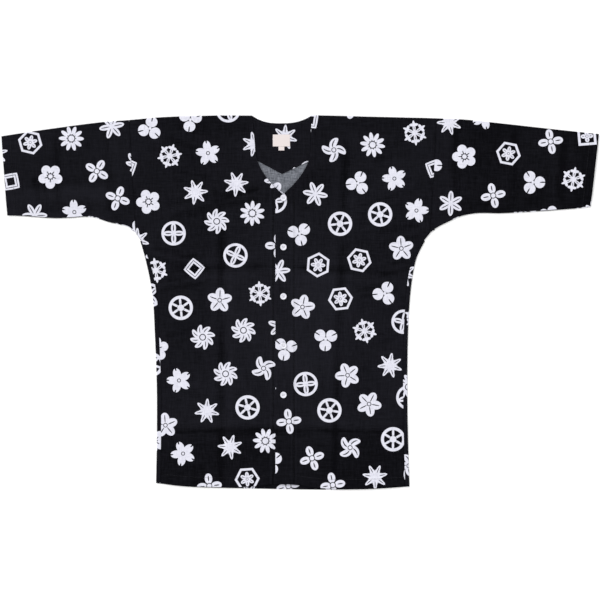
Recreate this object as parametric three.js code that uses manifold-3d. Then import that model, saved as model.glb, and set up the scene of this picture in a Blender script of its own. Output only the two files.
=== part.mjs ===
// A koikuchi shirt, the collarless cotton festival shirt with close sleeves, buttoned and laid flat on its back.
// Sizes are millimetres. x runs towards the wearer's left, y towards the neck and z up from the surface;
// x = 0 is the centre front line and y = 0 is midway between the hem and the shoulders.

import * as THREE from "three";
import { mergeVertices } from "three/addons/utils/BufferGeometryUtils.js";
import Module from "manifold-3d";

const wasm = await Module();
wasm.setup();

const { lerp, clamp, smoothstep, degToRad } = THREE.MathUtils;

// Cloth and seams.
const CLOTH = 1.0; // one layer of the cotton, as a wall
const GAP = 0.3; // clearance between neighbouring pieces
const LAYER = CLOTH + GAP; // how far one layer lifts the next
const FOLD_RADIUS = (2 * CLOTH + GAP) / 2; // outside of a fold that holds two layers
const TOP_LAYER = LAYER; // underside of a front that lies straight on the back

// Overall size of the shirt as it lies.
const HEM_Y = -381.5;
const SHOULDER_Y = 382;
const UNDERARM_Y = 143;
const ARMHOLE_FOOT_X = 301;
const ARMHOLE_TOP_X = 314;

// Neck: straight down from each shoulder, then a V that curves in to the front edge.
const NECK = { right: -63, left: 58, dip: 16, centre: -2.5 };
const V_NECK = { side: 57, straightTo: 320, bendX: 58, bendY: 262, foot: -15.3, footY: 209 };

// Front edges: the left front laps over the right one and both are turned back and stitched down.
const PLACKET = { lap: 15.3, underLap: 17, width: 38.8, step: 0.4, ramp: 3, topFade: 12 };
const HEM_BAND = { depth: 20, step: 0.4, ramp: 3 };
const CUFF_BAND = { depth: 18, step: 0.4 };
const FRONT_HEM = { lift: 1.5, centreLift: 9, spread: 62 }; // the front hem lies a little above the back one
const SIDE_WRAP = { width: 8.5, narrow: 3, top: 125, taper: 70, flange: 6, ends: 24 };

// Buttons down the front, and the label on the facing.
const BUTTON = { count: 5, radius: 6.5, thickness: 2.6, x: 1, firstY: 213, pitch: 100.3 };
const BUTTON_HOLE = { radius: 0.9, circle: 1.7, count: 4 };
const LABEL = { x0: -20.7, x1: 14.3, y0: 318.2, y1: 342.3 };
const SIZE_TAB = { x0: -9.1, x1: 2.7, height: 7.9 };

// The facing inside the back neck, a yoke whose lower edge is a shallow V.
const FACING = { pointX: -2, pointY: 262, slopeRight: 0.54, slopeLeft: 0.47, reach: 110 };

// Loft: the air under the upper layer, which dies away at folded edges and is small beside the buttons.
const LOFT = {
  base: 1.2,
  most: 3.6,
  fadeFrom: 3,
  fadeTo: 30,
  placket: 0.5,
  placketHalf: 20,
  placketFade: 38,
  settledTo: 225,
  freeFrom: 290,
};

const GRID = { pitch: 25, beside: 9, least: 5 };
const BLACK = { color: 0x19191d, roughness: 0.92, metalness: 0 };
const WHITE_PLASTIC = { color: 0xeeeef6, roughness: 0.3, metalness: 0 };
const LABEL_WHITE = { color: 0xf2e9e3, roughness: 0.8, metalness: 0 };

// Top edge of the shirt from the right cuff over the shoulders to the left cuff.
const TOP_EDGE = [
  { x: -574, y: 339 },
  { x: -489, y: 352 },
  { x: -372, y: 367.5 },
  { x: -314, y: 372 },
  { x: -243, y: 378 },
  { x: -146, y: 381 },
  { x: -63, y: 381 },
  { x: 58, y: 381.5 },
  { x: 172, y: 379 },
  { x: 314, y: 375.5 },
  { x: 370, y: 373 },
  { x: 433, y: 366.5 },
  { x: 564, y: 352 },
  { x: 644, y: 343.5 },
];

// Side edges of the body from the underarm down to the hem.
const SIDE_EDGE = [
  { y: -381.5, right: -259, left: 258 },
  { y: -260, right: -257, left: 254.5 },
  { y: -160, right: -257.5, left: 253.5 },
  { y: -57, right: -261.5, left: 255 },
  { y: 5, right: -265, left: 258.5 },
  { y: 46, right: -271, left: 263 },
  { y: 87, right: -280, left: 271 },
  { y: 107, right: -285.5, left: 279.5 },
  { y: 127, right: -292, left: 290.5 },
  { y: 143, right: -301, left: 301 },
];

// Lower edges of the sleeves, from the underarm out to the cuff.
const RIGHT_SLEEVE_EDGE = [
  { x: -562, y: 177.5 },
  { x: -532, y: 176.5 },
  { x: -466, y: 172 },
  { x: -434, y: 173 },
  { x: -390, y: 174.5 },
  { x: -355, y: 164 },
  { x: -316, y: 154.5 },
  { x: -301, y: 143 },
];
const LEFT_SLEEVE_EDGE = [
  { x: 301, y: 143 },
  { x: 314, y: 153 },
  { x: 341, y: 166.5 },
  { x: 361, y: 175.5 },
  { x: 382, y: 180.5 },
  { x: 404, y: 182.5 },
  { x: 444, y: 182 },
  { x: 512, y: 185.5 },
  { x: 606, y: 192.5 },
  { x: 627, y: 195 },
];

// Bottom edge of the back.
const HEM_EDGE = [
  { x: -259, y: -368 },
  { x: -201, y: -375 },
  { x: -117, y: -378 },
  { x: 36, y: -381 },
  { x: 102, y: -381.5 },
  { x: 175, y: -380.5 },
  { x: 226, y: -377.5 },
  { x: 258, y: -375 },
];

// Creases in the upper layer: troughs left by folding for the packet, and soft ridges where cloth is pushed up.
const CREASES = [
  { name: "right press fold", x0: -125, y0: 215, x1: -125, y1: -330, rise: -1.2, width: 9 },
  { name: "left press fold", x0: 130, y0: 370, x1: 106, y1: -300, rise: -1.0, width: 9 },
  { name: "waist fold, right", x0: -215, y0: 66, x1: -40, y1: 74, rise: -1.1, width: 8 },
  { name: "waist fold, left", x0: 22, y0: 71, x1: 235, y1: 60, rise: -0.8, width: 8 },
  { name: "lower fold", x0: -215, y0: -262, x1: 150, y1: -260, rise: -1.1, width: 8 },
  { name: "chest fold, outer", x0: -240, y0: 186, x1: -140, y1: 206, rise: 1.5, width: 13 },
  { name: "chest fold, inner", x0: -140, y0: 206, x1: -45, y1: 222, rise: 1.1, width: 11 },
  { name: "right underarm, upper", x0: -275, y0: 105, x1: -160, y1: 74, rise: 1.4, width: 10 },
  { name: "right underarm, lower", x0: -262, y0: 32, x1: -155, y1: 50, rise: 1.1, width: 9 },
  { name: "left underarm, upper", x0: 285, y0: 148, x1: 190, y1: 128, rise: 1.2, width: 11 },
  { name: "left underarm, lower", x0: 262, y0: 78, x1: 196, y1: 64, rise: 1.0, width: 9 },
  { name: "left sleeve, inner", x0: 352, y0: 372, x1: 349, y1: 180, rise: -1.1, width: 9 },
  { name: "left sleeve, middle", x0: 474, y0: 362, x1: 470, y1: 188, rise: -0.8, width: 9 },
  { name: "left sleeve, outer", x0: 572, y0: 352, x1: 567, y1: 194, rise: -1.2, width: 9 },
  { name: "right sleeve, inner", x0: -362, y0: 368, x1: -350, y1: 178, rise: -0.9, width: 9 },
  { name: "right sleeve, outer", x0: -462, y0: 354, x1: -456, y1: 176, rise: -0.9, width: 9 },
  { name: "right sleeve roll", x0: -545, y0: 214, x1: -330, y1: 226, rise: 1.1, width: 26 },
];

// The value of a table's column at a place, on a smooth curve through its rows (cubic Hermite).
function smoothAt(table, from, to, at) {
  const last = table.length - 1;
  const slope = (i) => {
    const before = table[Math.max(i - 1, 0)];
    const after = table[Math.min(i + 1, last)];
    return (after[to] - before[to]) / (after[from] - before[from]);
  };
  let i = 0;
  while (i < last - 1 && at > table[i + 1][from]) i += 1;
  const a = table[i];
  const b = table[i + 1];
  const span = b[from] - a[from];
  const t = clamp((at - a[from]) / span, 0, 1);
  const square = t * t;
  const cube = square * t;
  return (
    (2 * cube - 3 * square + 1) * a[to] +
    (cube - 2 * square + t) * span * slope(i) +
    (3 * square - 2 * cube) * b[to] +
    (cube - square) * span * slope(i + 1)
  );
}

const topEdge = (x) => smoothAt(TOP_EDGE, "x", "y", x);
const hemEdge = (x) => smoothAt(HEM_EDGE, "x", "y", x);
const sideEdge = (side, y) => smoothAt(SIDE_EDGE, "y", side, y);
const armhole = (y) =>
  lerp(ARMHOLE_FOOT_X, ARMHOLE_TOP_X, (y - UNDERARM_Y) / (SHOULDER_Y - UNDERARM_Y));
const frontHem = (x) =>
  hemEdge(x) + FRONT_HEM.lift + FRONT_HEM.centreLift * Math.exp(-((x / FRONT_HEM.spread) ** 2));

// The back neck: a flat-bottomed dip between the two ends of the neck.
function backNeck(x) {
  const half = (NECK.left - NECK.right) / 2;
  const across = Math.abs(x - NECK.centre) / half;
  return topEdge(x) - NECK.dip * (1 - across ** 2.6);
}

// Points from one place to another at about an even pitch.
function evenly(from, to, pitch) {
  const count = Math.max(1, Math.round(Math.abs(to - from) / pitch));
  return Array.from({ length: count + 1 }, (_, i) => lerp(from, to, i / count));
}

// The front neck edge from the shoulder down to the front edge, for the left front; the right one mirrors it.
function neckEdge(side) {
  const sign = side === "left" ? 1 : -1;
  const bend = new THREE.QuadraticBezierCurve(
    new THREE.Vector2(sign * V_NECK.side, V_NECK.straightTo),
    new THREE.Vector2(sign * V_NECK.bendX, V_NECK.bendY),
    new THREE.Vector2(sign * V_NECK.foot, V_NECK.footY),
  );
  const top = NECK[side];
  return [new THREE.Vector2(top, topEdge(top)), ...bend.getPoints(14)];
}

// The folded outline of each side: hem to underarm to cuff, and shoulder to cuff.
const FOLDED_EDGES = ["right", "left"].flatMap((side) => {
  const sleeve = side === "left" ? LEFT_SLEEVE_EDGE : RIGHT_SLEEVE_EDGE;
  const ends = [sleeve[0].x, sleeve.at(-1).x].sort((a, b) => Math.abs(a) - Math.abs(b));
  const under = [
    ...evenly(HEM_Y, UNDERARM_Y, 30).map((y) => new THREE.Vector2(sideEdge(side, y), y)),
    ...evenly(ends[0], ends[1], 20)
      .slice(1)
      .map((x) => new THREE.Vector2(x, smoothAt(sleeve, "x", "y", x))),
  ];
  const cuffTop = side === "left" ? TOP_EDGE.at(-1).x : TOP_EDGE[0].x;
  const over = evenly(NECK[side], cuffTop, 30).map((x) => new THREE.Vector2(x, topEdge(x)));
  return [under, over];
});

// Distance from a place to a straight stretch, and how far along the stretch its nearest point is.
function fromStretch(x, y, x0, y0, x1, y1) {
  const dx = x1 - x0;
  const dy = y1 - y0;
  const along = clamp(((x - x0) * dx + (y - y0) * dy) / (dx * dx + dy * dy), 0, 1);
  return { distance: Math.hypot(x - x0 - along * dx, y - y0 - along * dy), along };
}

function fromFoldedEdge(x, y) {
  let nearest = Infinity;
  for (const edge of FOLDED_EDGES)
    for (let i = 1; i < edge.length; i += 1) {
      const found = fromStretch(x, y, edge[i - 1].x, edge[i - 1].y, edge[i].x, edge[i].y);
      nearest = Math.min(nearest, found.distance);
    }
  return nearest;
}

// Air between the two layers at a place.
function loft(x, y) {
  let rise = LOFT.base;
  for (const c of CREASES) {
    const { distance } = fromStretch(x, y, c.x0, c.y0, c.x1, c.y1);
    rise += c.rise * Math.exp(-((distance / c.width) ** 2));
  }
  const free = clamp(rise, 0, LOFT.most);
  const beside = smoothstep(Math.abs(x), LOFT.placketHalf, LOFT.placketFade);
  const above = smoothstep(y, LOFT.settledTo, LOFT.freeFrom);
  const settled = lerp(LOFT.placket, free, Math.max(beside, above));
  return settled * smoothstep(fromFoldedEdge(x, y), LOFT.fadeFrom, LOFT.fadeTo);
}

// The facing's lower edge, two straight slopes that meet in a point below the neck.
const facingEdge = (x) =>
  FACING.pointY +
  (x < FACING.pointX ? FACING.slopeRight : FACING.slopeLeft) * Math.abs(x - FACING.pointX);

// Extra height where a front lies on the neck facing.
function facingLift(x, y) {
  const edge = facingEdge(x);
  const margin = GRID.pitch;
  const inY = smoothstep(y, edge - 2 * margin, edge - margin);
  const inX = 1 - smoothstep(Math.abs(x), FACING.reach + margin, FACING.reach + 2 * margin);
  return LAYER * inY * inX;
}

// Step of the turned front edge, as wide as the band from edge to stitching.
function placketStep(x, y, edge, stitching) {
  const sign = Math.sign(stitching - edge);
  const past = smoothstep(sign * (x - stitching), 0, PLACKET.ramp);
  const above = smoothstep(y, V_NECK.footY, V_NECK.footY + PLACKET.topFade);
  return PLACKET.step * (1 - past) * (1 - above);
}

const hemStep = (x, y) =>
  HEM_BAND.step * (1 - smoothstep(y - frontHem(x), HEM_BAND.depth, HEM_BAND.depth + HEM_BAND.ramp));

// Grid lines: an even pitch, with lines on and beside each place that needs them.
function gridLines(low, high, places) {
  const wanted = places
    .filter((p) => p > low + GRID.least && p < high - GRID.least)
    .sort((a, b) => a - b);
  const lines = [low];
  for (const p of [...wanted, high]) {
    if (p - lines.at(-1) < GRID.least) continue;
    lines.push(...evenly(lines.at(-1), p, GRID.pitch).slice(1));
  }
  lines[lines.length - 1] = high;
  return lines;
}

const beside = (at) => [at - GRID.beside, at, at + GRID.beside];

// A closed geometry from two matching grids of points, outer and inner, rows of equal length.
// Where the rows close on themselves it is a tube, and otherwise a sheet.
function shell(outer, inner, closed) {
  const rows = outer.length;
  const columns = outer[0].length;
  const position = [...outer.flat(), ...inner.flat()].flatMap((p) => [p.x, p.y, p.z]);
  const at = (row, column) => row * columns + (column % columns);
  const within = rows * columns;
  const index = [];
  const quad = (a, b, c, d) => index.push(a, b, c, a, c, d);
  for (let i = 0; i < rows - 1; i += 1)
    for (let j = 0; j < columns - (closed ? 0 : 1); j += 1) {
      const [a, b, c, d] = [at(i, j), at(i, j + 1), at(i + 1, j + 1), at(i + 1, j)];
      quad(a, b, c, d);
      quad(within + a, within + d, within + c, within + b);
    }
  for (let j = 0; j < columns - (closed ? 0 : 1); j += 1) {
    quad(at(0, j + 1), at(0, j), within + at(0, j), within + at(0, j + 1));
    const end = rows - 1;
    quad(at(end, j), at(end, j + 1), within + at(end, j + 1), within + at(end, j));
  }
  if (!closed)
    for (let i = 0; i < rows - 1; i += 1) {
      const end = columns - 1;
      quad(at(i, 0), at(i + 1, 0), within + at(i + 1, 0), within + at(i, 0));
      quad(at(i + 1, end), at(i, end), within + at(i, end), within + at(i + 1, end));
    }
  const geometry = new THREE.BufferGeometry();
  geometry.setAttribute("position", new THREE.Float32BufferAttribute(position, 3));
  geometry.setIndex(index);
  return geometry;
}

// A geometry as a solid that can be joined and cut.
function solidOf(geometry) {
  const bare = geometry.clone();
  bare.deleteAttribute("normal");
  bare.deleteAttribute("uv");
  const merged = mergeVertices(bare, 1e-4);
  return new wasm.Manifold(
    new wasm.Mesh({
      numProp: 3,
      vertProperties: merged.attributes.position.array,
      triVerts: new Uint32Array(merged.index.array),
    }),
  );
}

function geometryOf(solid) {
  const { numProp, numVert, vertProperties, triVerts } = solid.getMesh();
  const position = new Float32Array(numVert * 3);
  for (let i = 0; i < numVert; i += 1)
    position.set(vertProperties.subarray(i * numProp, i * numProp + 3), i * 3);
  const geometry = new THREE.BufferGeometry();
  geometry.setAttribute("position", new THREE.BufferAttribute(position, 3));
  geometry.setIndex(new THREE.BufferAttribute(new Uint32Array(triVerts), 1));
  geometry.computeVertexNormals();
  return geometry;
}

function pieceMesh(name, geometry, finish) {
  const mesh = new THREE.Mesh(geometry, new THREE.MeshStandardMaterial(finish));
  mesh.name = name;
  return mesh;
}

// A flat panel of an outline, from one height to another.
function flatPanel(outline, bottom, thickness) {
  const geometry = new THREE.ExtrudeGeometry(new THREE.Shape(outline), {
    depth: thickness,
    bevelEnabled: false,
  });
  return geometry.translate(0, 0, bottom);
}

// A sheet over a rectangle whose underside and top are given by functions of the place.
function reliefSheet(xLines, yLines, underside, top) {
  const grid = (height) =>
    yLines.map((y) => xLines.map((x) => new THREE.Vector3(x, y, height(x, y))));
  return shell(grid(top), grid(underside), false);
}

const wrapWidth = (y) =>
  lerp(
    SIDE_WRAP.width,
    SIDE_WRAP.narrow,
    smoothstep(y, SIDE_WRAP.top - SIDE_WRAP.taper, SIDE_WRAP.top),
  );

// The folded side edge from the hem up to the end of the wrap, with the direction into the body.
function sidePath(side) {
  const foot = hemEdge(sideEdge(side, HEM_Y));
  const places = evenly(foot, SIDE_WRAP.top, SIDE_WRAP.ends).map(
    (y) => new THREE.Vector2(sideEdge(side, y), y),
  );
  return places.map((place, i) => {
    const ahead = places[Math.min(i + 1, places.length - 1)];
    const behind = places[Math.max(i - 1, 0)];
    const along = ahead.clone().sub(behind).normalize();
    const inward = new THREE.Vector2(-along.y, along.x).multiplyScalar(Math.sign(place.x));
    return { place, inward };
  });
}

// A strip folded round a side edge: out from the back, round the fold and in over the front.
function foldedStrip(path, isLeft) {
  const trim = 0.05; // the limbs are a little thinner than the panel that they run into
  const arc = (radius) =>
    evenly(-90, 90, 45).map((angle) => ({
      in: FOLD_RADIUS - radius * Math.cos(degToRad(angle)),
      z: FOLD_RADIUS + radius * Math.sin(degToRad(angle)),
    }));
  const rowOf = (radius, place, inward) => {
    const turned = arc(radius);
    const profile = [
      { in: SIDE_WRAP.flange, z: turned[0].z },
      ...turned,
      { in: wrapWidth(place.y), z: turned.at(-1).z },
    ];
    return profile.map(
      (p) => new THREE.Vector3(place.x + inward.x * p.in, place.y + inward.y * p.in, p.z),
    );
  };
  const outer = path.map(({ place, inward }) => rowOf(FOLD_RADIUS, place, inward));
  const inner = path.map(({ place, inward }) => rowOf(GAP / 2, place, inward));
  for (const row of outer) row[0].z += trim;
  for (const row of inner) row[0].z -= trim;
  return isLeft ? shell(inner, outer, false) : shell(outer, inner, false);
}

// The outline of the back, cut just inside the folded sides where the wrapped strips join it.
function backOutline() {
  const inset = FOLD_RADIUS + 1;
  const side = (name) => [
    ...sidePath(name).map(({ place, inward }) => place.clone().addScaledVector(inward, inset)),
    new THREE.Vector2(Math.sign(sideEdge(name, 0)) * (ARMHOLE_FOOT_X - GAP), UNDERARM_Y),
  ];
  const hemEnds = [sideEdge("right", HEM_Y) + inset + 1, sideEdge("left", HEM_Y) - inset - 1];
  const hem = evenly(...hemEnds, 30).map((x) => new THREE.Vector2(x, hemEdge(x)));
  const leftShoulder = evenly(ARMHOLE_TOP_X - GAP / 2, NECK.left, 40);
  const neck = evenly(NECK.left, NECK.right, 9).slice(1, -1);
  const rightShoulder = evenly(NECK.right, -ARMHOLE_TOP_X + GAP / 2, 40);
  return [
    ...hem,
    ...side("left"),
    ...leftShoulder.map((x) => new THREE.Vector2(x, topEdge(x))),
    ...neck.map((x) => new THREE.Vector2(x, backNeck(x))),
    ...rightShoulder.map((x) => new THREE.Vector2(x, topEdge(x))),
    ...side("right").reverse(),
  ];
}

function makeBack() {
  const panel = solidOf(flatPanel(backOutline(), 0, CLOTH));
  const strip = (side) => solidOf(foldedStrip(sidePath(side), side === "left"));
  const joined = panel.add(strip("left")).add(strip("right"));
  return pieceMesh("back", geometryOf(joined), BLACK);
}

// The front edge, the line of its stitching, and the heights of both faces of a front.
function frontSurface(side) {
  const isOver = side === "left";
  const edge = isOver ? -PLACKET.lap : PLACKET.underLap;
  const stitching = edge + (isOver ? PLACKET.width : -PLACKET.width);
  const lap = { from: PLACKET.underLap + GAP, to: PLACKET.underLap + 14 };
  const lapLift = (x, y) =>
    (LAYER + PLACKET.step + hemStep(x, y)) * (1 - smoothstep(x, lap.from, lap.to));
  const underside = (x, y) =>
    TOP_LAYER + loft(x, y) + facingLift(x, y) + (isOver ? lapLift(x, y) : 0);
  const top = (x, y) =>
    underside(x, y) + CLOTH + placketStep(x, y, edge, stitching) + hemStep(x, y);
  return { isOver, edge, stitching, lap, underside, top };
}

// A front: a sheet with its relief, cut to the outline of the piece.
function makeFront(side) {
  const sign = side === "left" ? 1 : -1;
  const { isOver, edge, stitching, lap, underside, top } = frontSurface(side);

  const outer = sidePath(side).map(({ place, inward }) =>
    place.clone().addScaledVector(inward, wrapWidth(place.y) + GAP),
  );
  outer[0].y = frontHem(outer[0].x);
  const shoulder = evenly(sign * (ARMHOLE_TOP_X - GAP / 2), NECK[side], 30);
  const hem = evenly(edge, outer[0].x, 20).slice(0, -1);
  const outline = [
    ...hem.map((x) => new THREE.Vector2(x, frontHem(x))),
    ...outer,
    new THREE.Vector2(sign * (ARMHOLE_FOOT_X - GAP / 2), UNDERARM_Y + GAP),
    ...shoulder.slice(0, -1).map((x) => new THREE.Vector2(x, topEdge(x))),
    ...neckEdge(side),
  ];
  if (!isOver) outline.push(new THREE.Vector2(PLACKET.underLap, V_NECK.footY - 3));
  if (sign < 0) outline.reverse();

  const folds = CREASES.filter((c) => Math.abs(c.x0) < ARMHOLE_FOOT_X && c.x0 * sign > 0);
  const upright = folds.filter((c) => Math.abs(c.x1 - c.x0) < Math.abs(c.y1 - c.y0));
  const level = folds.filter((c) => !upright.includes(c));
  const stitchLines = [stitching, stitching + sign * PLACKET.ramp];
  const lapLines = isOver ? [lap.from, lap.to] : [];
  const far = sign * (ARMHOLE_TOP_X + GRID.least);
  const near = edge - sign * GRID.least;
  const xLines = gridLines(Math.min(near, far), Math.max(near, far), [
    ...stitchLines,
    ...lapLines,
    ...upright.flatMap((c) => beside((c.x0 + c.x1) / 2)),
  ]);
  const hemLines = [HEM_Y + HEM_BAND.depth + 4, HEM_Y + HEM_BAND.depth + 4 + 2 * HEM_BAND.ramp];
  const yLines = gridLines(HEM_Y - GRID.least, SHOULDER_Y + GRID.least, [
    ...hemLines,
    V_NECK.footY,
    V_NECK.footY + PLACKET.topFade,
    ...level.flatMap((c) => beside((c.y0 + c.y1) / 2)),
    SHOULDER_Y - LOFT.fadeTo,
    SHOULDER_Y - LOFT.fadeTo / 2,
  ]);
  const sheet = solidOf(reliefSheet(xLines, yLines, underside, top));
  const cutter = solidOf(flatPanel(outline, -1, 20));
  return pieceMesh(`front_${side}`, geometryOf(sheet.intersect(cutter)), BLACK);
}

// A sleeve: a flat tube whose rings run from the lower edge round the upper fold and back.
function makeSleeve(side) {
  const sign = side === "left" ? 1 : -1;
  const lower = side === "left" ? LEFT_SLEEVE_EDGE : RIGHT_SLEEVE_EDGE;
  const lowerEnd = side === "left" ? lower.at(-1).x : lower[0].x;
  const upperEnd = side === "left" ? TOP_EDGE.at(-1).x : TOP_EDGE[0].x;
  const upperStart = sign * (ARMHOLE_TOP_X + GAP / 2);
  const lowerStart = sign * (ARMHOLE_FOOT_X + GAP / 2 + 0.2);
  const creases = CREASES.filter((c) => c.x0 * sign > ARMHOLE_TOP_X && Math.abs(c.x1 - c.x0) < 60);
  const share = (x) => (x - upperStart) / (upperEnd - upperStart);
  const length = Math.abs(upperEnd - upperStart);
  const bandFrom = 1 - CUFF_BAND.depth / length;
  const shares = [
    0,
    ...[0.06, 0.12, 0.18, 0.36, 0.52, 0.66],
    ...creases.flatMap((c) => beside((c.x0 + c.x1) / 2).map(share)),
    bandFrom - 0.012,
    bandFrom,
    1,
  ]
    .sort((a, b) => a - b)
    .filter((s, i, all) => i === 0 || s - all[i - 1] > 0.011);
  const across = 9;

  const rowOf = (s, offset) => {
    const lowX = lerp(lowerStart, lowerEnd, s);
    const highX = lerp(upperStart, upperEnd, s);
    const low = new THREE.Vector2(lowX, smoothAt(lower, "x", "y", lowX));
    const high = new THREE.Vector2(highX, topEdge(highX));
    const width = low.distanceTo(high);
    const radius = FOLD_RADIUS - offset;
    const band = s >= bandFrom ? CUFF_BAND.step : 0;
    const outside = offset === 0 ? band : 0;
    const at = (distance, z) => {
      const place = low.clone().lerp(high, distance / width);
      return new THREE.Vector3(place.x, place.y, z);
    };
    const turn = (centre, from, to) =>
      evenly(from, to, 45)
        .slice(1, -1)
        .map((angle) =>
          at(
            centre + radius * Math.cos(degToRad(angle)),
            FOLD_RADIUS + radius * Math.sin(degToRad(angle)),
          ),
        );
    const upper = evenly(FOLD_RADIUS, width - FOLD_RADIUS, width / across).map((d) => {
      const place = at(d, 0);
      const fade = smoothstep(Math.min(d, width - d), 0, LOFT.fadeTo);
      place.z = FOLD_RADIUS + radius + loft(place.x, place.y) + outside * fade;
      return place;
    });
    const under = [width - FOLD_RADIUS, width / 2, FOLD_RADIUS].map((d) => at(d, offset));
    const upperFold = turn(width - FOLD_RADIUS, 90, -90);
    const lowerFold = turn(FOLD_RADIUS, 270, 90);
    return [...upper, ...upperFold, ...under, ...lowerFold];
  };
  const outer = shares.map((s) => rowOf(s, 0));
  const inner = shares.map((s) => rowOf(s, CLOTH));
  const tube = sign > 0 ? shell(inner, outer, true) : shell(outer, inner, true);
  return pieceMesh(`sleeve_${side}`, tube, BLACK);
}

// The facing inside the back neck. It follows the neck above, and its lower edge points down at the centre.
function makeNeckFacing() {
  const ends = { left: FACING.reach, right: -FACING.reach };
  const inset = 2; // the facing's neck edge sits just inside the back's
  const neck = evenly(NECK.left, NECK.right, 9).slice(1, -1);
  const outline = [
    new THREE.Vector2(FACING.pointX, FACING.pointY),
    new THREE.Vector2(ends.left, facingEdge(ends.left)),
    new THREE.Vector2(ends.left, topEdge(ends.left) - inset),
    new THREE.Vector2(NECK.left, topEdge(NECK.left) - inset),
    ...neck.map((x) => new THREE.Vector2(x, backNeck(x) - inset)),
    new THREE.Vector2(NECK.right, topEdge(NECK.right) - inset),
    new THREE.Vector2(ends.right, topEdge(ends.right) - inset),
    new THREE.Vector2(ends.right, facingEdge(ends.right)),
  ];
  return pieceMesh("neck_facing", flatPanel(outline, LAYER, CLOTH), BLACK);
}

function rectangle(x0, x1, y0, y1) {
  return [
    new THREE.Vector2(x0, y0),
    new THREE.Vector2(x1, y0),
    new THREE.Vector2(x1, y1),
    new THREE.Vector2(x0, y1),
  ];
}

// A bare woven label on the facing, and the small size tab below it.
function makeLabels() {
  const z = 2 * LAYER;
  const label = flatPanel(rectangle(LABEL.x0, LABEL.x1, LABEL.y0, LABEL.y1), z, CLOTH);
  const tabTop = LABEL.y0 - GAP;
  const tab = flatPanel(
    rectangle(SIZE_TAB.x0, SIZE_TAB.x1, tabTop - SIZE_TAB.height, tabTop),
    z,
    CLOTH,
  );
  return [pieceMesh("label", label, LABEL_WHITE), pieceMesh("size_tab", tab, LABEL_WHITE)];
}

// A four-hole shirt button with a raised rim, turned on its axis.
function makeButton(number) {
  const { radius, thickness } = BUTTON;
  const profile = [
    [0, 0],
    [radius * 0.72, 0],
    [radius, thickness * 0.45],
    [radius * 0.94, thickness * 0.9],
    [radius * 0.8, thickness],
    [radius * 0.56, thickness * 0.72],
    [0, thickness * 0.72],
  ].map(([r, z]) => new THREE.Vector2(r, z));
  const disc = new THREE.LatheGeometry(profile, 24).rotateX(Math.PI / 2);
  let solid = solidOf(disc);
  for (let i = 0; i < BUTTON_HOLE.count; i += 1) {
    const angle = (2 * Math.PI * (i + 0.5)) / BUTTON_HOLE.count;
    const drill = new THREE.CylinderGeometry(
      BUTTON_HOLE.radius,
      BUTTON_HOLE.radius,
      3 * thickness,
      8,
    ).rotateX(Math.PI / 2);
    drill.translate(
      BUTTON_HOLE.circle * Math.cos(angle),
      BUTTON_HOLE.circle * Math.sin(angle),
      thickness / 2,
    );
    solid = solid.subtract(solidOf(drill));
  }
  const button = pieceMesh(`button_${number}`, geometryOf(solid), WHITE_PLASTIC);
  const y = BUTTON.firstY - (number - 1) * BUTTON.pitch;
  const { top } = frontSurface("left");
  const seat = evenly(-BUTTON.radius, BUTTON.radius, 3).map((dy) => top(BUTTON.x, y + dy));
  button.position.set(BUTTON.x, y, Math.max(...seat) + GAP);
  return button;
}

const shirt = new THREE.Group();
shirt.name = "koikuchi_shirt";
shirt.add(
  makeBack(),
  makeFront("right"),
  makeFront("left"),
  makeSleeve("right"),
  makeSleeve("left"),
  makeNeckFacing(),
  ...makeLabels(),
);
for (let number = 1; number <= BUTTON.count; number += 1) shirt.add(makeButton(number));

export default shirt;
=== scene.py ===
"""A koikuchi shirt, the collarless cotton festival shirt with close sleeves, buttoned and laid flat.

Shapes are worked out in millimetres, in the model's own frame: x towards the wearer's left, y towards
the neck and z up from the surface. They turn into metres when a mesh is made.
"""

import logging
from collections.abc import Callable
from dataclasses import dataclass
from enum import Enum
from functools import partial
from typing import TypeVar

import bmesh
import bpy
import numpy as np
from bpy.types import ID, Material, Mesh, Node, NodeSocket, NodeTree, Object
from mathutils import Matrix


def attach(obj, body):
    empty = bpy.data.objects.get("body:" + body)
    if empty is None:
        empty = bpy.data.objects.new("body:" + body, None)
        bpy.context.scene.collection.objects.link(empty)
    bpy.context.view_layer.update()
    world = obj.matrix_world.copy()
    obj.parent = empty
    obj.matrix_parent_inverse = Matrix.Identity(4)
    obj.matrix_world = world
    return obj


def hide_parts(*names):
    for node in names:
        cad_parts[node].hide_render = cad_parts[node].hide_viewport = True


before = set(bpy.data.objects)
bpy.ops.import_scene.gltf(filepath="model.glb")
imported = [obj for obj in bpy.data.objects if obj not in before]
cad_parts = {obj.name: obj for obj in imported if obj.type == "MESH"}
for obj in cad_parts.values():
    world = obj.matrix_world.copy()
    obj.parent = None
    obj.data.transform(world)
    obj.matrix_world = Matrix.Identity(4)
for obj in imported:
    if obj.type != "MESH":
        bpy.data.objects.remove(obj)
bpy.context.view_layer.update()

BODY = "root"
METRES = 0.001
PER_METRE = 1000

log = logging.getLogger("koikuchi_shirt")

Edge = Callable[[np.ndarray], np.ndarray]
Value = TypeVar("Value")


class Side(Enum):
    """The wearer's right or left, with its direction along x."""

    RIGHT = -1
    LEFT = 1

    def pick(self, right: Value, left: Value) -> Value:
        """The one of two values that is this side's."""
        return left if self is Side.LEFT else right


class Slot(Enum):
    """The record's material slots."""

    PRINTED_COTTON = "printed_cotton"
    FACING_COTTON = "facing_cotton"
    LABEL_CLOTH = "label_cloth"
    BUTTON_PLASTIC = "button_plastic"


# Sizes of the cloth and of the seams


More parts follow.
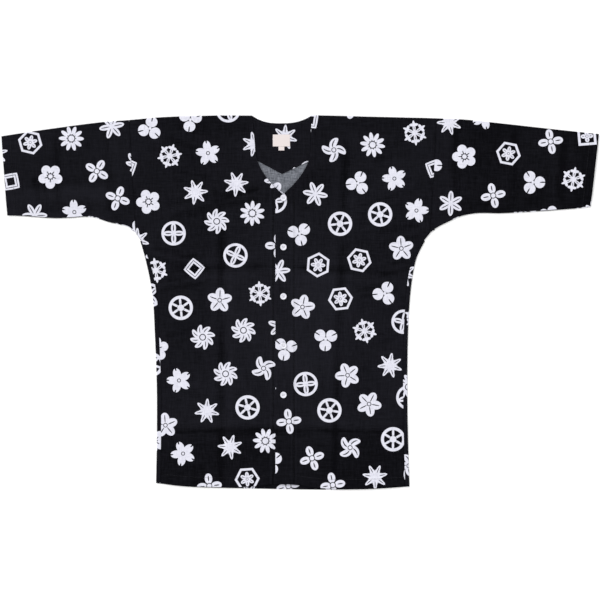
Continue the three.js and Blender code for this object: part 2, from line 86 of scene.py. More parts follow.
@dataclass(frozen=True)
class Cloth:
    """Thicknesses of the cloth, and the room between layers, in millimetres."""

    layer: float = 1.3  # how far one layer lifts the next
    gap: float = 0.3
    wall: float = 1.0  # the solid's wall, whose outer face the shell follows
    shell: float = 0.55  # one layer of the cotton
    turned: float = 0.95  # an edge that is turned in and stitched
    seam: float = 0.03  # room between two pieces where they are sewn together
    fold: float = 1.15  # outer radius of a fold round two layers


CLOTH = Cloth()


def table(columns: str, rows: list[tuple]) -> np.ndarray:
    """Rows under named columns: words under name, numbers under the rest, and 0 where a row ends early."""
    kinds = [(column, "U24" if column == "name" else float) for column in columns.split()]
    return np.array([row + (0,) * (len(kinds) - len(row)) for row in rows], dtype=kinds)


# The outline, by points along it: the top edge from cuff to cuff, the back's hem, the folded sides of the
# body by their height, and the lower edge of each sleeve.
TOP_EDGE = table(
    "at edge",
    [
        (-574, 339), (-489, 352), (-372, 367.5), (-314, 372), (-243, 378), (-146, 381),
        (-63, 381), (58, 381.5), (172, 379), (314, 375.5), (370, 373), (433, 366.5),
        (564, 352), (644, 343.5),
    ],
)

HEM_EDGE = table(
    "at edge",
    [
        (-259, -368), (-201, -375), (-117, -378), (36, -381), (102, -381.5), (175, -380.5),
        (226, -377.5), (258, -375),
    ],
)

SIDE_EDGE = table(
    "at right left",
    [
        (-381.5, -259, 258), (-260, -257, 254.5), (-160, -257.5, 253.5), (-57, -261.5, 255), (5, -265, 258.5),
        (46, -271, 263), (87, -280, 271), (107, -285.5, 279.5), (127, -292, 290.5), (143, -301, 301),
    ],
)

SLEEVE_EDGE = {
    Side.RIGHT: table(
        "at edge",
        [
            (-562, 177.5), (-532, 176.5), (-466, 172), (-434, 173), (-390, 174.5), (-355, 164),
            (-316, 154.5), (-301, 143),
        ],
    ),
    Side.LEFT: table(
        "at edge",
        [
            (301, 143), (314, 153), (341, 166.5), (361, 175.5), (382, 180.5), (404, 182.5),
            (444, 182), (512, 185.5), (606, 192.5), (627, 195),
        ],
    ),
}

# Creases in the upper layer: where each runs, how far it rises, and how broad it is. A press fold left by
# the packet is a trough with a sharp line at its foot, and pushed-up cloth is a soft ridge with no line.
CREASES = table(
    "name x0 y0 x1 y1 rise width line",
    [
        ("right press fold", -125, 215, -125, -330, -1.2, 9, 0.42),
        ("left press fold", 130, 370, 106, -300, -1.0, 9, 0.36),
        ("waist fold, right", -215, 66, -40, 74, -1.1, 8, 0.52),
        ("waist fold, left", 22, 71, 235, 60, -0.8, 8, 0.46),
        ("lower fold", -215, -262, 150, -260, -1.1, 8, 0.42),
        ("chest fold, outer", -240, 186, -140, 206, 1.5, 13),
        ("chest fold, inner", -140, 206, -45, 222, 1.1, 11),
        ("right underarm, upper", -275, 105, -160, 74, 1.4, 10),
        ("right underarm, lower", -262, 32, -155, 50, 1.1, 9),
        ("left underarm, upper", 285, 148, 190, 128, 1.2, 11),
        ("left underarm, lower", 262, 78, 196, 64, 1.0, 9),
        ("left sleeve, inner", 352, 372, 349, 180, -1.1, 9, 0.30),
        ("left sleeve, middle", 474, 362, 470, 188, -0.8, 9, 0.22),
        ("left sleeve, outer", 572, 352, 567, 194, -1.2, 9, 0.34),
        ("right sleeve, inner", -362, 368, -350, 178, -0.9, 9, 0.26),
        ("right sleeve, outer", -462, 354, -456, 176, -0.9, 9, 0.26),
        ("right sleeve roll", -545, 214, -330, 226, 1.1, 26),
    ],
)

# Small wrinkles that only the cloth itself shows, over the forms above.
WRINKLES = table(
    "name x0 y0 x1 y1 rise width",
    [
        ("waist, first", -212, 48, -168, 40, 0.45, 5),
        ("waist, second", -206, 32, -160, 22, -0.40, 5),
        ("waist, third", -214, 84, -172, 92, 0.40, 6),
        ("right chest", -232, 262, -150, 246, 0.40, 9),
        ("right shoulder", -250, 330, -170, 300, 0.35, 10),
        ("left shoulder", 262, 322, 176, 296, 0.35, 10),
        ("left chest", 240, 210, 150, 186, 0.40, 9),
        ("left waist", 206, 30, 150, 16, 0.35, 7),
        ("left flank", 236, -60, 168, -84, 0.35, 9),
        ("right flank", -240, -80, -178, -60, 0.35, 9),
        ("lower left", 214, -196, 140, -214, -0.35, 8),
        ("lower right", -220, -176, -160, -196, -0.35, 8),
        ("left hem", 190, -330, 176, -376, 0.45, 8),
        ("right hem", -176, -326, -168, -374, 0.45, 8),
        ("left elbow", 420, 226, 402, 190, 0.45, 7),
        ("left forearm", 520, 236, 508, 196, 0.40, 7),
        ("right elbow", -410, 216, -396, 182, 0.45, 7),
        ("right forearm", -500, 262, -488, 206, 0.40, 8),
        ("chest fold, foot", -150, 202, -42, 234, -0.75, 7),
        ("waist fold, middle", -64, 73, 60, 72, -0.60, 4),
        ("waist fold, right end", -256, 60, -176, 68, -0.60, 5),
        ("lower fold, right end", -252, -266, -120, -261, -0.80, 5),
        ("lower fold, left end", 60, -261, 246, -264, -0.90, 5),
        ("right press fold, foot", -125, -250, -127, -378, -0.90, 9),
        ("left press fold, foot", 108, -230, 104, -378, -0.70, 9),
    ],
)

# Painted light or painted shade on the black in each panel between the packet's folds, beyond the rest: a
# lighter panel is a painted highlight, a darker one painted shade.
PANELS = table(
    "name x0 x1 y0 y1 worn",
    [
        ("centre", -125, 118, -262, 70, 0.10),
        ("beside the lap", 20, 100, -150, 60, 0.08),
        ("left flank", 118, 262, -262, 64, 0.07),
        ("right flank", -262, -125, -262, 66, 0.03),
        ("chest", -120, 124, 72, 200, 0.05),
        ("below the lower fold", -262, 262, -390, -262, -0.11),
        ("right sleeve, below", -580, -350, 165, 240, 0.10),
        ("right sleeve, cuff", -580, -500, 165, 340, 0.05),
        ("shoulders", -300, 300, 346, 400, -0.07),
        ("left sleeve", 350, 640, 140, 380, -0.12),
        ("left cuff", 570, 640, 180, 370, -0.06),
    ],
)


# Arithmetic on whole arrays


def smoothstep(value: np.ndarray, low: float, high: float) -> np.ndarray:
    """Rise from 0 at low to 1 at high along 3t squared less 2t cubed.

    Args:
        value: Places to work out.
        low: Where the rise begins.
        high: Where it ends.

    Returns:
        The risen share, from 0 to 1.
    """
    t = np.clip((value - low) / (high - low), 0, 1)
    return t * t * (3 - 2 * t)


def bell(distance: np.ndarray, width: float) -> np.ndarray:
    """A bell 1 high: exp(-(distance / width) squared)."""
    return np.exp(-((distance / width) ** 2))


def along_table(table: np.ndarray, at: np.ndarray, column: str = "edge") -> np.ndarray:
    """Read a column on the smooth curve through a table's rows.

    Between two rows the curve is the cubic that has both rows' values, and as its slope at each row the
    slope of the line through the rows on either side.

    Args:
        table: Rows with an "at" column in rising order.
        at: Places to read.
        column: The column to read.

    Returns:
        The column's value at each place.
    """
    place, value = table["at"], table[column]
    at = np.asarray(at, float)
    before = np.maximum(np.arange(len(place)) - 1, 0)
    after = np.minimum(np.arange(len(place)) + 1, len(place) - 1)
    slope = (value[after] - value[before]) / (place[after] - place[before])
    i = np.clip(np.searchsorted(place, at) - 1, 0, len(place) - 2)
    span = place[i + 1] - place[i]
    t = np.clip((at - place[i]) / span, 0, 1)
    start = (2 * t**3 - 3 * t**2 + 1) * value[i] + (t**3 - 2 * t**2 + t) * span * slope[i]
    end = (3 * t**2 - 2 * t**3) * value[i + 1] + (t**3 - t**2) * span * slope[i + 1]
    return start + end


def stacked(*parts: np.ndarray | float) -> np.ndarray:
    """Put arrays of one shape together, as the last axis of a new one."""
    return np.stack(np.broadcast_arrays(*parts), axis=-1)


def uneven_wave(at: np.ndarray, wave: float, bend: float, by: np.ndarray, drift: float) -> np.ndarray:
    """A wave whose length drifts: sin(at / wave + bend sin(by / drift))."""
    return np.sin(at / wave + bend * np.sin(by / drift))


def beside(x: np.ndarray, y: np.ndarray, ends: list[float]) -> tuple[np.ndarray, np.ndarray]:
    """Distance from each place to the nearest point of a straight stretch.

    Args:
        x: Places across.
        y: Places along.
        ends: The stretch's start and end, across and along.

    Returns:
        The distances, and how far along the stretch the nearest points lie, from 0 to 1.
    """
    x0, y0, x1, y1 = ends
    dx, dy = x1 - x0, y1 - y0
    t = np.clip(((x - x0) * dx + (y - y0) * dy) / (dx * dx + dy * dy), 0, 1)
    return np.hypot(x - x0 - t * dx, y - y0 - t * dy), t


def beside_row(x: np.ndarray, y: np.ndarray, row: np.void) -> tuple[np.ndarray, np.ndarray]:
    """Distance from a crease's stretch, and a share that falls to 0 over the eighth of it at either end."""
    distance, t = beside(x, y, [row[column] for column in ("x0", "y0", "x1", "y1")])
    return distance, smoothstep(t, 0, 0.125) * smoothstep(t, 1, 0.875)


def from_path(x: np.ndarray, y: np.ndarray, path: np.ndarray) -> np.ndarray:
    """Distance from each place to the nearest point of a path of straight stretches."""
    return np.minimum.reduce([beside(x, y, [*a, *b])[0] for a, b in zip(path[:-1], path[1:])])


def spaced(low: float, high: float, pitch: float) -> np.ndarray:
    """Even places from low to high, at about a pitch."""
    return np.linspace(low, high, max(2, int(round(abs(high - low) / pitch)) + 1))


# The shirt as it lies: its edges and the height of its upper layer


@dataclass(frozen=True)
class Block:
    """The outline of the shirt and the lines that its pieces are cut to, in millimetres."""

    hem_y: float = -381.5
    shoulder_y: float = 382
    underarm_y: float = 143
    armhole_foot: float = 301
    armhole_top: float = 314
    neck_right: float = -63
    neck_left: float = 58
    neck_dip: float = 16
    neck_centre: float = -2.5
    vee_side: float = 57
    vee_top: float = 320
    vee_bend_x: float = 58
    vee_bend_y: float = 262
    vee_foot_x: float = 15.3
    vee_foot_y: float = 209
    under_front_set_in: float = 1.7  # below the V the right front's edge lies this much farther in
    front_hem_lift: float = 1.5  # how far the fronts' hem lies above the back's
    front_hem_rise: float = 9  # how much more it does at the centre
    front_hem_spread: float = 62
    wrap: float = 8.5
    wrap_narrow: float = 3
    wrap_top: float = 125
    wrap_taper: float = 70
    flange: float = 2.15

    def top(self, x: np.ndarray) -> np.ndarray:
        """The top edge, over the shoulders and sleeves."""
        return along_table(TOP_EDGE, x)

    def hem(self, x: np.ndarray) -> np.ndarray:
        """The bottom edge of the back."""
        return along_table(HEM_EDGE, x)

    def front_hem(self, x: np.ndarray) -> np.ndarray:
        """The fronts' bottom edge: above the back's by the lift, and by a bell of the rise at the centre."""
        return self.hem(x) + self.front_hem_lift + self.front_hem_rise * bell(x, self.front_hem_spread)

    def side(self, side: Side, y: np.ndarray) -> np.ndarray:
        """The folded side edge of the body."""
        return along_table(SIDE_EDGE, y, side.name.lower())

    def armhole(self, y: np.ndarray) -> np.ndarray:
        """The armhole's distance from the centre, on a straight line from underarm to shoulder."""
        share = (y - self.underarm_y) / (self.shoulder_y - self.underarm_y)
        return self.armhole_foot + share * (self.armhole_top - self.armhole_foot)

    def neck_share(self, x: np.ndarray) -> np.ndarray:
        """Distance from the middle of the back neck, where 1 is at its ends."""
        return np.abs(x - self.neck_centre) / ((self.neck_left - self.neck_right) / 2)

    def back_top(self, x: np.ndarray) -> np.ndarray:
        """The back's top edge, less the dip times 1 less the 2.6th power of the neck's share."""
        return self.top(x) - self.neck_dip * np.clip(1 - self.neck_share(x) ** 2.6, 0, None)

    def wrap_width(self, y: np.ndarray) -> np.ndarray:
        """How far the back wraps onto the front at a side."""
        taper = smoothstep(y, self.wrap_top - self.wrap_taper, self.wrap_top)
        return self.wrap + taper * (self.wrap_narrow - self.wrap)

    def side_path(self, side: Side) -> tuple[np.ndarray, np.ndarray]:
        """Follow a folded side edge from the hem to the end of the wrap.

        Args:
            side: Which side.

        Returns:
            The points, and the unit vector into the body at each, square to the edge.
        """
        foot = float(self.hem(self.side(side, self.hem_y)))
        y = spaced(foot, self.wrap_top, 3)
        places = stacked(self.side(side, y), y)
        run = np.gradient(places, axis=0)
        run /= np.linalg.norm(run, axis=1, keepdims=True)
        return places, stacked(-run[:, 1], run[:, 0]) * side.value

    def side_line(self, side: Side, inset: np.ndarray | float, foot: float, step: float) -> np.ndarray:
        """A panel's outer edge: up the side at an inset, across to the underarm and up the armhole.

        Args:
            side: Which side.
            inset: Distance in from the folded edge at each point of the side path.
            foot: The distance in from the underarm point.
            step: How far above the underarm point the panel's corner lies.

        Returns:
            The points of the edge.
        """
        places, inward = self.side_path(side)
        y = spaced(self.underarm_y + step, self.shoulder_y + 4, 3)
        upper = stacked(side.value * (self.armhole(y) - foot), y)
        return np.concatenate([places + inward * np.reshape(inset, (-1, 1)), upper])

    def front_edge(self, side: Side, y: np.ndarray) -> np.ndarray:
        """A front's inner edge: straight up to the foot of the V, along the V and up to the shoulder.

        The V is the curve (1-t) squared A + 2t(1-t) B + t squared C, with A at the side of the neck and C
        at the foot, and t found from y.

        Args:
            side: Which front.
            y: Places along.

        Returns:
            The edge's places across.
        """
        a = self.vee_top - 2 * self.vee_bend_y + self.vee_foot_y
        b = 2 * (self.vee_bend_y - self.vee_top)
        rest = self.vee_top - np.clip(y, self.vee_foot_y, self.vee_top)
        t = (-b - np.sqrt(b * b - 4 * a * rest)) / (2 * a)
        vee = (1 - t) ** 2 * self.vee_side + 2 * t * (1 - t) * self.vee_bend_x - t**2 * self.vee_foot_x
        neck = side.pick(-self.neck_right, self.neck_left)
        vee += (neck - self.vee_side) * np.clip((y - self.vee_top) / (self.shoulder_y - self.vee_top), 0, 1)
        vee -= side.pick(self.under_front_set_in, 0) * np.clip((self.vee_foot_y - y) / 3, 0, 1)
        return side.value * vee

    def folded_edges(self) -> list[np.ndarray]:
        """The lines where the two layers meet in a fold or a seam, two for each side of the shirt.

        Returns:
            Each line's points.
        """
        paths = []
        for side in Side:
            y = spaced(self.hem_y, self.underarm_y, 24)
            sleeve = SLEEVE_EDGE[side]
            x = np.sort(spaced(sleeve["at"][0], sleeve["at"][-1], 18))[:: side.value][1:]
            below = [stacked(self.side(side, y), y), stacked(x, along_table(sleeve, x))]
            paths.append(np.concatenate(below))
            x = spaced(side.pick(self.neck_right, self.neck_left), TOP_EDGE["at"][side.pick(0, -1)], 24)
            paths.append(stacked(x, self.top(x)))
        return paths


BLOCK = Block()
FOLDED_EDGES = BLOCK.folded_edges()


@dataclass(frozen=True)
class Lie:
    """How the upper layer lies over the lower: the air beneath it, its creases, its tone with painted light
    and shade, and its bands.
    """

    base: float = 1.2
    most: float = 3.6
    fade_from: float = 3
    fade_to: float = 30
    beside_buttons: float = 0.5
    button_strip: tuple[float, float] = (20, 38)  # where the air beside the buttons begins and is whole
    settled_to: tuple[float, float] = (225, 290)  # the same above the buttons
    facing_reach: float = 110
    facing_point_x: float = -2
    facing_point_y: float = 262
    facing_right: float = 0.54
    facing_left: float = 0.47
    band: float = 0.4
    hem_depth: float = 20
    cuff_depth: float = 18
    lap: float = 15.3
    under_lap: float = 17
    placket: float = 38.8
    black_tone: float = 0.27
    panel_fade: float = 16

    def turned_edge(self, side: Side) -> float:
        """Where a front's turned edge lies below the V."""
        return side.pick(self.under_lap, -self.lap)

    def stitch_line(self, side: Side) -> float:
        """The row of stitching that holds a front's turned edge."""
        return self.turned_edge(side) + side.value * (self.placket - 1.2)

    def facing_edge(self, x: np.ndarray) -> np.ndarray:
        """The facing's lower edge: straight slopes up on both sides of a point."""
        slope = np.where(x < self.facing_point_x, self.facing_right, self.facing_left)
        return self.facing_point_y + slope * np.abs(x - self.facing_point_x)

    def air(self, x: np.ndarray, y: np.ndarray) -> np.ndarray:
        """Air between the layers.

        The base, plus for each crease its rise times exp(-(distance / width) squared), is kept between 0
        and the most. Beside the buttons it is nearly flat, and it dies away towards each folded edge.

        Args:
            x: Places across.
            y: Places along.

        Returns:
            The heights.
        """
        rises = [c["rise"] * bell(beside_row(x, y, c)[0], c["width"]) for c in CREASES]
        free = np.clip(self.base + sum(rises), 0, self.most)
        apart = np.maximum(smoothstep(np.abs(x), *self.button_strip), smoothstep(y, *self.settled_to))
        return (self.beside_buttons + apart * (free - self.beside_buttons)) * self.fade(x, y)

    def fade(self, x: np.ndarray, y: np.ndarray) -> np.ndarray:
        """How free the cloth is, from 0 at a folded edge to 1 away from all of them."""
        nearest = np.minimum.reduce([from_path(x, y, path) for path in FOLDED_EDGES])
        return smoothstep(nearest, self.fade_from, self.fade_to)

    def creasing(self, x: np.ndarray, y: np.ndarray) -> np.ndarray:
        """Fine relief of the cloth itself.

        Each press fold has a line at its foot, less deep in places; each wrinkle is a bell across its
        stretch; and two crossing waves of uneven length lift the rest by a tenth of a millimetre.

        Args:
            x: Places across.
            y: Places along.

        Returns:
            The heights, to be added to the outer face.
        """
        relief = 0.10 * uneven_wave(x, 23, 1.4, y, 57) * uneven_wave(y, 41, 1.1, x, 71)
        relief += 0.05 * uneven_wave(x, 9, 2.0, y, 33) * uneven_wave(y, 13, 1.7, x, 29)
        for c in CREASES[CREASES["line"] > 0]:
            distance, share = beside_row(x, y, c)
            uneven = share * (0.75 + 0.25 * np.sin((x + y) / 31 + c["x0"]))
            relief += c["line"] * uneven * (0.35 * bell(distance - 5.5, 3) - bell(distance, 2.6))
        for w in WRINKLES:
            distance, share = beside_row(x, y, w)
            relief += w["rise"] * share * bell(distance, w["width"])
        return relief

    def worn(self, x: np.ndarray, y: np.ndarray) -> np.ndarray:
        """How light the black looks, from 0 to 1: its tone, with painted light and shade over it.

        The tone is a base with a slow wave over all. Painted shade darkens the foot of a press fold and a
        painted highlight lightens the shoulders beside it; a soft ridge has a painted highlight and painted
        shade at its foot; a wrinkle has painted shade at its foot, or along it where it is a trough; and each
        panel has its own share of painted light or shade, faded in at its edges.

        Args:
            x: Places across.
            y: Places along.

        Returns:
            The shares.
        """
        tone = self.black_tone + 0.05 * uneven_wave(x, 47, 1.3, y, 83) * uneven_wave(y, 61, 1.1, x, 97)
        # Painted light or painted shade over each panel.
        for p in PANELS:
            share = p["worn"]
            for at, low, high in ((x, p["x0"], p["x1"]), (y, p["y0"], p["y1"])):
                share = share * smoothstep(at, low - self.panel_fade, low + self.panel_fade)
                share = share * smoothstep(at, high + self.panel_fade, high - self.panel_fade)
            tone += share
        # Painted shade at the foot of each press fold with a painted highlight beside it, and a painted
        # highlight on each soft ridge with painted shade at its foot.
        for c in CREASES:
            distance, share = beside_row(x, y, c)
            if c["line"] > 0:
                uneven = 0.6 + 0.4 * np.sin((x - y) / 37 + c["y0"])
                foot = 0.25 * bell(distance, 2) + 0.4 * bell(distance, 9)
                tone += 1.1 * c["line"] * share * (0.14 * bell(distance - 17, 8) - foot * uneven)
            else:
                broad = 0.6 * c["width"]
                tone += share * (0.05 * bell(distance, broad) - 0.10 * bell(distance - c["width"], broad))
        # Painted shade at the foot of each wrinkle.
        for w in WRINKLES:
            distance, share = beside_row(x, y, w)
            foot = w["width"] if w["rise"] > 0 else 0
            tone -= 0.22 * share * np.abs(w["rise"]) * bell(distance - foot, 0.6 * w["width"])
        return np.clip(tone, 0, 1)

    def over_facing(self, x: np.ndarray, y: np.ndarray) -> np.ndarray:
        """The lift of a front where it lies on the neck facing."""
        above = smoothstep(y - self.facing_edge(x), -50, -25)
        return CLOTH.layer * above * smoothstep(np.abs(x) - self.facing_reach, 50, 25)

    def hem_step(self, x: np.ndarray, y: np.ndarray) -> np.ndarray:
        """The step of the turned hem of a front."""
        return self.band * smoothstep(y - BLOCK.front_hem(x), self.hem_depth + 3, self.hem_depth)

    def placket_step(self, side: Side, x: np.ndarray, y: np.ndarray) -> np.ndarray:
        """The step of a front's turned edge, from the edge to its stitching."""
        within = smoothstep(side.value * (x - self.turned_edge(side)) - self.placket, 3, 0)
        return self.band * within * smoothstep(y, BLOCK.vee_foot_y + 12, BLOCK.vee_foot_y)

    def lap_lift(self, x: np.ndarray, y: np.ndarray) -> np.ndarray:
        """The lift of the left front where it lies on the right one."""
        share = smoothstep(x, self.under_lap + 14, self.under_lap + CLOTH.gap)
        return (CLOTH.layer + self.band + self.hem_step(x, y)) * share

    def front(self, side: Side, x: np.ndarray, y: np.ndarray) -> np.ndarray:
        """Height of a front's outer face, with no edge rolled.

        Args:
            side: Which front.
            x: Places across.
            y: Places along.

        Returns:
            The heights.
        """
        height = CLOTH.layer + CLOTH.wall + self.air(x, y) + self.over_facing(x, y)
        height += self.placket_step(side, x, y) + self.hem_step(x, y)
        return height + side.pick(0, 1) * self.lap_lift(x, y)


LIE = Lie()


# Meshes from grids


def made_mesh(name: str, points: np.ndarray, faces: list[list[int]]) -> Mesh:
    """Make a smoothly shaded mesh in metres.

    Args:
        name: The mesh's name.
        points: Its points, in millimetres.
        faces: The corner numbers of each face.

    Returns:
        The mesh.
    """
    mesh = bpy.data.meshes.new(name)
    mesh.from_pydata((points * METRES).tolist(), [], faces)
    mesh.polygons.foreach_set("use_smooth", np.ones(len(faces), bool))
    return mesh


def placed(name: str, data: ID) -> Object:
    """An object at the origin, linked to the scene.

    Args:
        name: The object's name.
        data: Its mesh, light or camera.

    Returns:
        The object.
    """
    made = bpy.data.objects.new(name, data)
    bpy.context.scene.collection.objects.link(made)
    return made


class Face(Enum):
    """Material places on a cloth piece."""

    OUTER = 0
    INNER = 1


@dataclass
class Shell:
    """A closed thin shell between two grids of points of the same shape, in millimetres.

    The outer grid's normal is along its rows' direction crossed with its columns' direction, or against it;
    the mesh is turned so that its volume is positive. Where closed is set, each row runs round a tube. The
    flat cut is the outer grid seen from above unless it is given, and its shift is where it lies in the
    printed cloth.
    """

    outer: np.ndarray
    inner: np.ndarray
    shift: tuple[float, float] = (0, 0)
    flat: np.ndarray | None = None
    closed: bool = False
    turned_in: np.ndarray | bool = False
    # The black's tone at each point, with painted light and shade in it where it is worked out.
    worn: np.ndarray | float = 0.3

    def corners(self) -> tuple[np.ndarray, np.ndarray]:
        """Work out the shell's faces, the outer ones first, then the inner ones and the rims.

        A tube has a place in its flat cut more than it has points: its last column is the first one again.

        Returns:
            For each face's corners their points, and their places in the flat cut.
        """
        rows, columns = self.outer.shape[:2]
        wide = columns + self.closed
        out = np.arange(rows * wide).reshape(rows, wide)
        low = out + rows * wide
        strips = [
            (out[:-1, :-1], out[:-1, 1:], out[1:, 1:], out[1:, :-1]),
            (low[:-1, :-1], low[1:, :-1], low[1:, 1:], low[:-1, 1:]),
            (out[0, 1:], out[0, :-1], low[0, :-1], low[0, 1:]),
            (out[-1, :-1], out[-1, 1:], low[-1, 1:], low[-1, :-1]),
        ]
        if not self.closed:
            strips.append((out[:-1, 0], out[1:, 0], low[1:, 0], low[:-1, 0]))
            strips.append((out[1:, -1], out[:-1, -1], low[:-1, -1], low[1:, -1]))
        places = np.concatenate([stacked(*strip).reshape(-1, 4) for strip in strips])
        row, column = np.divmod(places, wide)
        return row * columns + column % columns, places

    def mesh(self, name: str) -> Mesh:
        """Make the mesh, with its cloth coordinates and the place of each face's material.

        Args:
            name: The mesh's name.

        Returns:
            The mesh, in metres.
        """
        rows, columns = self.outer.shape[:2]
        faces, places = self.corners()
        points = np.concatenate([self.outer.reshape(-1, 3), self.inner.reshape(-1, 3)])
        a, b, c, d = (points[faces[:, k]] for k in range(4))
        if (a * (np.cross(b, c) + np.cross(c, d))).sum() < 0:
            faces, places = faces[:, ::-1], places[:, ::-1]
        mesh = made_mesh(name, points, faces.tolist())

        spans = (rows - 1, columns - 1 + self.closed)
        count = spans[0] * spans[1]
        inner_kind = np.where(self.turned_in, Face.OUTER.value, Face.INNER.value)
        kinds = np.full(len(faces), Face.OUTER.value, np.int32)
        kinds[count : 2 * count] = np.broadcast_to(inner_kind, spans).reshape(-1)
        mesh.polygons.foreach_set("material_index", kinds)

        cut = (self.outer[..., :2] if self.flat is None else self.flat) + np.array(self.shift)
        if self.closed:
            cut = np.concatenate([cut, cut[:, -1:] + cut[:, 1:2] - cut[:, :1]], axis=1)
        cut = np.concatenate([cut.reshape(-1, 2)] * 2) * METRES
        layer = mesh.uv_layers.new(name="cut")
        layer.data.foreach_set("uv", cut[places.reshape(-1)].astype(np.float32).reshape(-1))
        # The black's tone, with its painted light and shade, kept on the points for the material.
        tone = np.broadcast_to(self.worn, (rows, columns)).reshape(-1)
        tone_and_painted_light_attribute = mesh.attributes.new("worn", "FLOAT", "POINT")
        tone_and_painted_light_attribute.data.foreach_set("value", np.tile(tone, 2).astype(np.float32))
        mesh.set_sharp_from_angle(angle=np.radians(50))
        mesh.update()
        return mesh


# Grid lines close to an edge, which is rolled over there, and either side of a turned band's end.
EDGE = np.array([0, 0.4, 1.0, 1.8, 2.8])
BAND_END = np.array([-1, 0, 1.2, 2.4, 3.6])


def ladder(low: np.ndarray, high: np.ndarray, length: float, pitch: float) -> np.ndarray:
    """Rungs across a span: at fixed distances from both ends, and even between.

    Args:
        low: Distances from the low end, rising from 0.
        high: Distances from the high end, rising from 0.
        length: About how long the span is.
        pitch: About how far apart the even rungs are.

    Returns:
        For each rung a distance and a share: its place is the distance plus the share of the span.
    """
    share = spaced(0, 1, pitch / (length - low[-1] - high[-1]))[1:-1]
    middle = stacked(low[-1] * (1 - share) - high[-1] * share, share)
    return np.concatenate([stacked(low, 0), middle, stacked(-high[::-1], 1)])


def rungs_through(marks: list[float], pitch: float) -> np.ndarray:
    """Rungs across a span, evenly spread between marks that each get a rung of their own.

    Args:
        marks: Places in rising order, the first and last at the span's ends.
        pitch: About how far apart the rungs are.

    Returns:
        The rungs, as from ladder.
    """
    places = np.concatenate([spaced(a, b, pitch) for a, b in zip(marks[:-1], marks[1:])])
    return stacked(0, (np.unique(np.round(places, 6)) - marks[0]) / (marks[-1] - marks[0]))


def along_rows(grid: np.ndarray) -> np.ndarray:
    """Distance along each row of points from its first one."""
    steps = np.linalg.norm(np.diff(grid, axis=-2), axis=-1)
    return np.pad(np.cumsum(steps, axis=-1), [(0, 0)] * (grid.ndim - 2) + [(1, 0)])


def through(line: np.ndarray) -> Edge:
    """A function that reads the place across from the place along, on straight stretches between points."""
    return partial(np.interp, xp=line[:, 1], fp=line[:, 0])


def plan_grid(
    bounds: tuple[Edge, Edge, Edge, Edge], rows: np.ndarray, columns: np.ndarray
) -> tuple[np.ndarray, np.ndarray]:
    """Spread a grid over a panel that has two level edges and two upright ones.

    A row runs at a share of the height from the bottom edge to the top edge at each place across, and its
    ends are where it meets the upright edges, found by putting the answer back in ten times.

    Args:
        bounds: Functions for the bottom and top edge from x, and for the near and far edge from y.
        rows: Rungs up the panel, from ladder.
        columns: Rungs across the panel.

    Returns:
        The grid's places across and along.
    """
    bottom, top, near, far = bounds

    def height(x: np.ndarray) -> np.ndarray:
        """Each row's height at places across, one column of places for each row."""
        low, high = bottom(x), top(x)
        return low + rows[:, :1] + rows[:, 1:] * (high - low)

    ends = []
    for edge in (near, far):
        x = np.full((len(rows), 1), float(edge(np.array(0.0))))
        for _ in range(10):
            x = edge(height(x))
        ends.append(x)
    start, end = ends
    span = np.abs(end - start)
    x = start + np.sign(end - start) * (columns[:, 0] + columns[:, 1] * span)
    return x, height(x)


def kept_above(height: np.ndarray, lowest: np.ndarray) -> np.ndarray:
    """The greater of two heights, with a soft change within a tenth: log(exp(12a) + exp(12b)) / 12."""
    return np.logaddexp(12 * height, 12 * lowest) / 12


def rolled(distance: np.ndarray, reach: float, drop: float) -> np.ndarray:
    """How far a quarter ellipse falls below its top within reach of an edge, the whole drop at the edge."""
    t = np.clip(distance / reach, 0, 1)
    return drop * (1 - np.sqrt(t * (2 - t)))


def joined(name: str, meshes: list[Mesh]) -> Mesh:
    """Join meshes that have the same layers into one.

    Args:
        name: The new mesh's name.
        meshes: The meshes, which are removed.

    Returns:
        The joined mesh.
    """
    work = bmesh.new()
    for mesh in meshes:
        work.from_mesh(mesh)
        bpy.data.meshes.remove(mesh)
    result = bpy.data.meshes.new(name)
    work.to_mesh(result)
    work.free()
    return result


# Materials


def linear(code: str) -> tuple[float, float, float, float]:
    """Turn an sRGB hex colour into linear light.

    Args:
        code: Six hex digits after a hash sign.

    Returns:
        Red, green, blue and 1.
    """
    shares = [int(code[i : i + 2], 16) / 255 for i in (1, 3, 5)]
    return (*(s / 12.92 if s <= 0.04045 else ((s + 0.055) / 1.055) ** 2.4 for s in shares), 1.0)


def add_node(tree: NodeTree, kind: str, settings: dict | None = None, links: dict | None = None) -> Node:
    """Add a node with its settings and links.

    Args:
        tree: The tree to add to.
        kind: The node's type name.
        settings: Properties of the node and their values.
        links: Inputs by name or number, each with the socket it comes from or its own value.

    Returns:
        The node.
    """
    node = tree.nodes.new(kind)
    for key, value in (settings or {}).items():
        setattr(node, key, value)
    for key, value in (links or {}).items():
        if isinstance(value, NodeSocket):
            tree.links.new(value, node.inputs[key])
        else:
            node.inputs[key].default_value = value
    return node


MATH, VECTOR_MATH = "ShaderNodeMath", "ShaderNodeVectorMath"
COLOUR_MIX = ("ShaderNodeMix", {"data_type": "RGBA"})


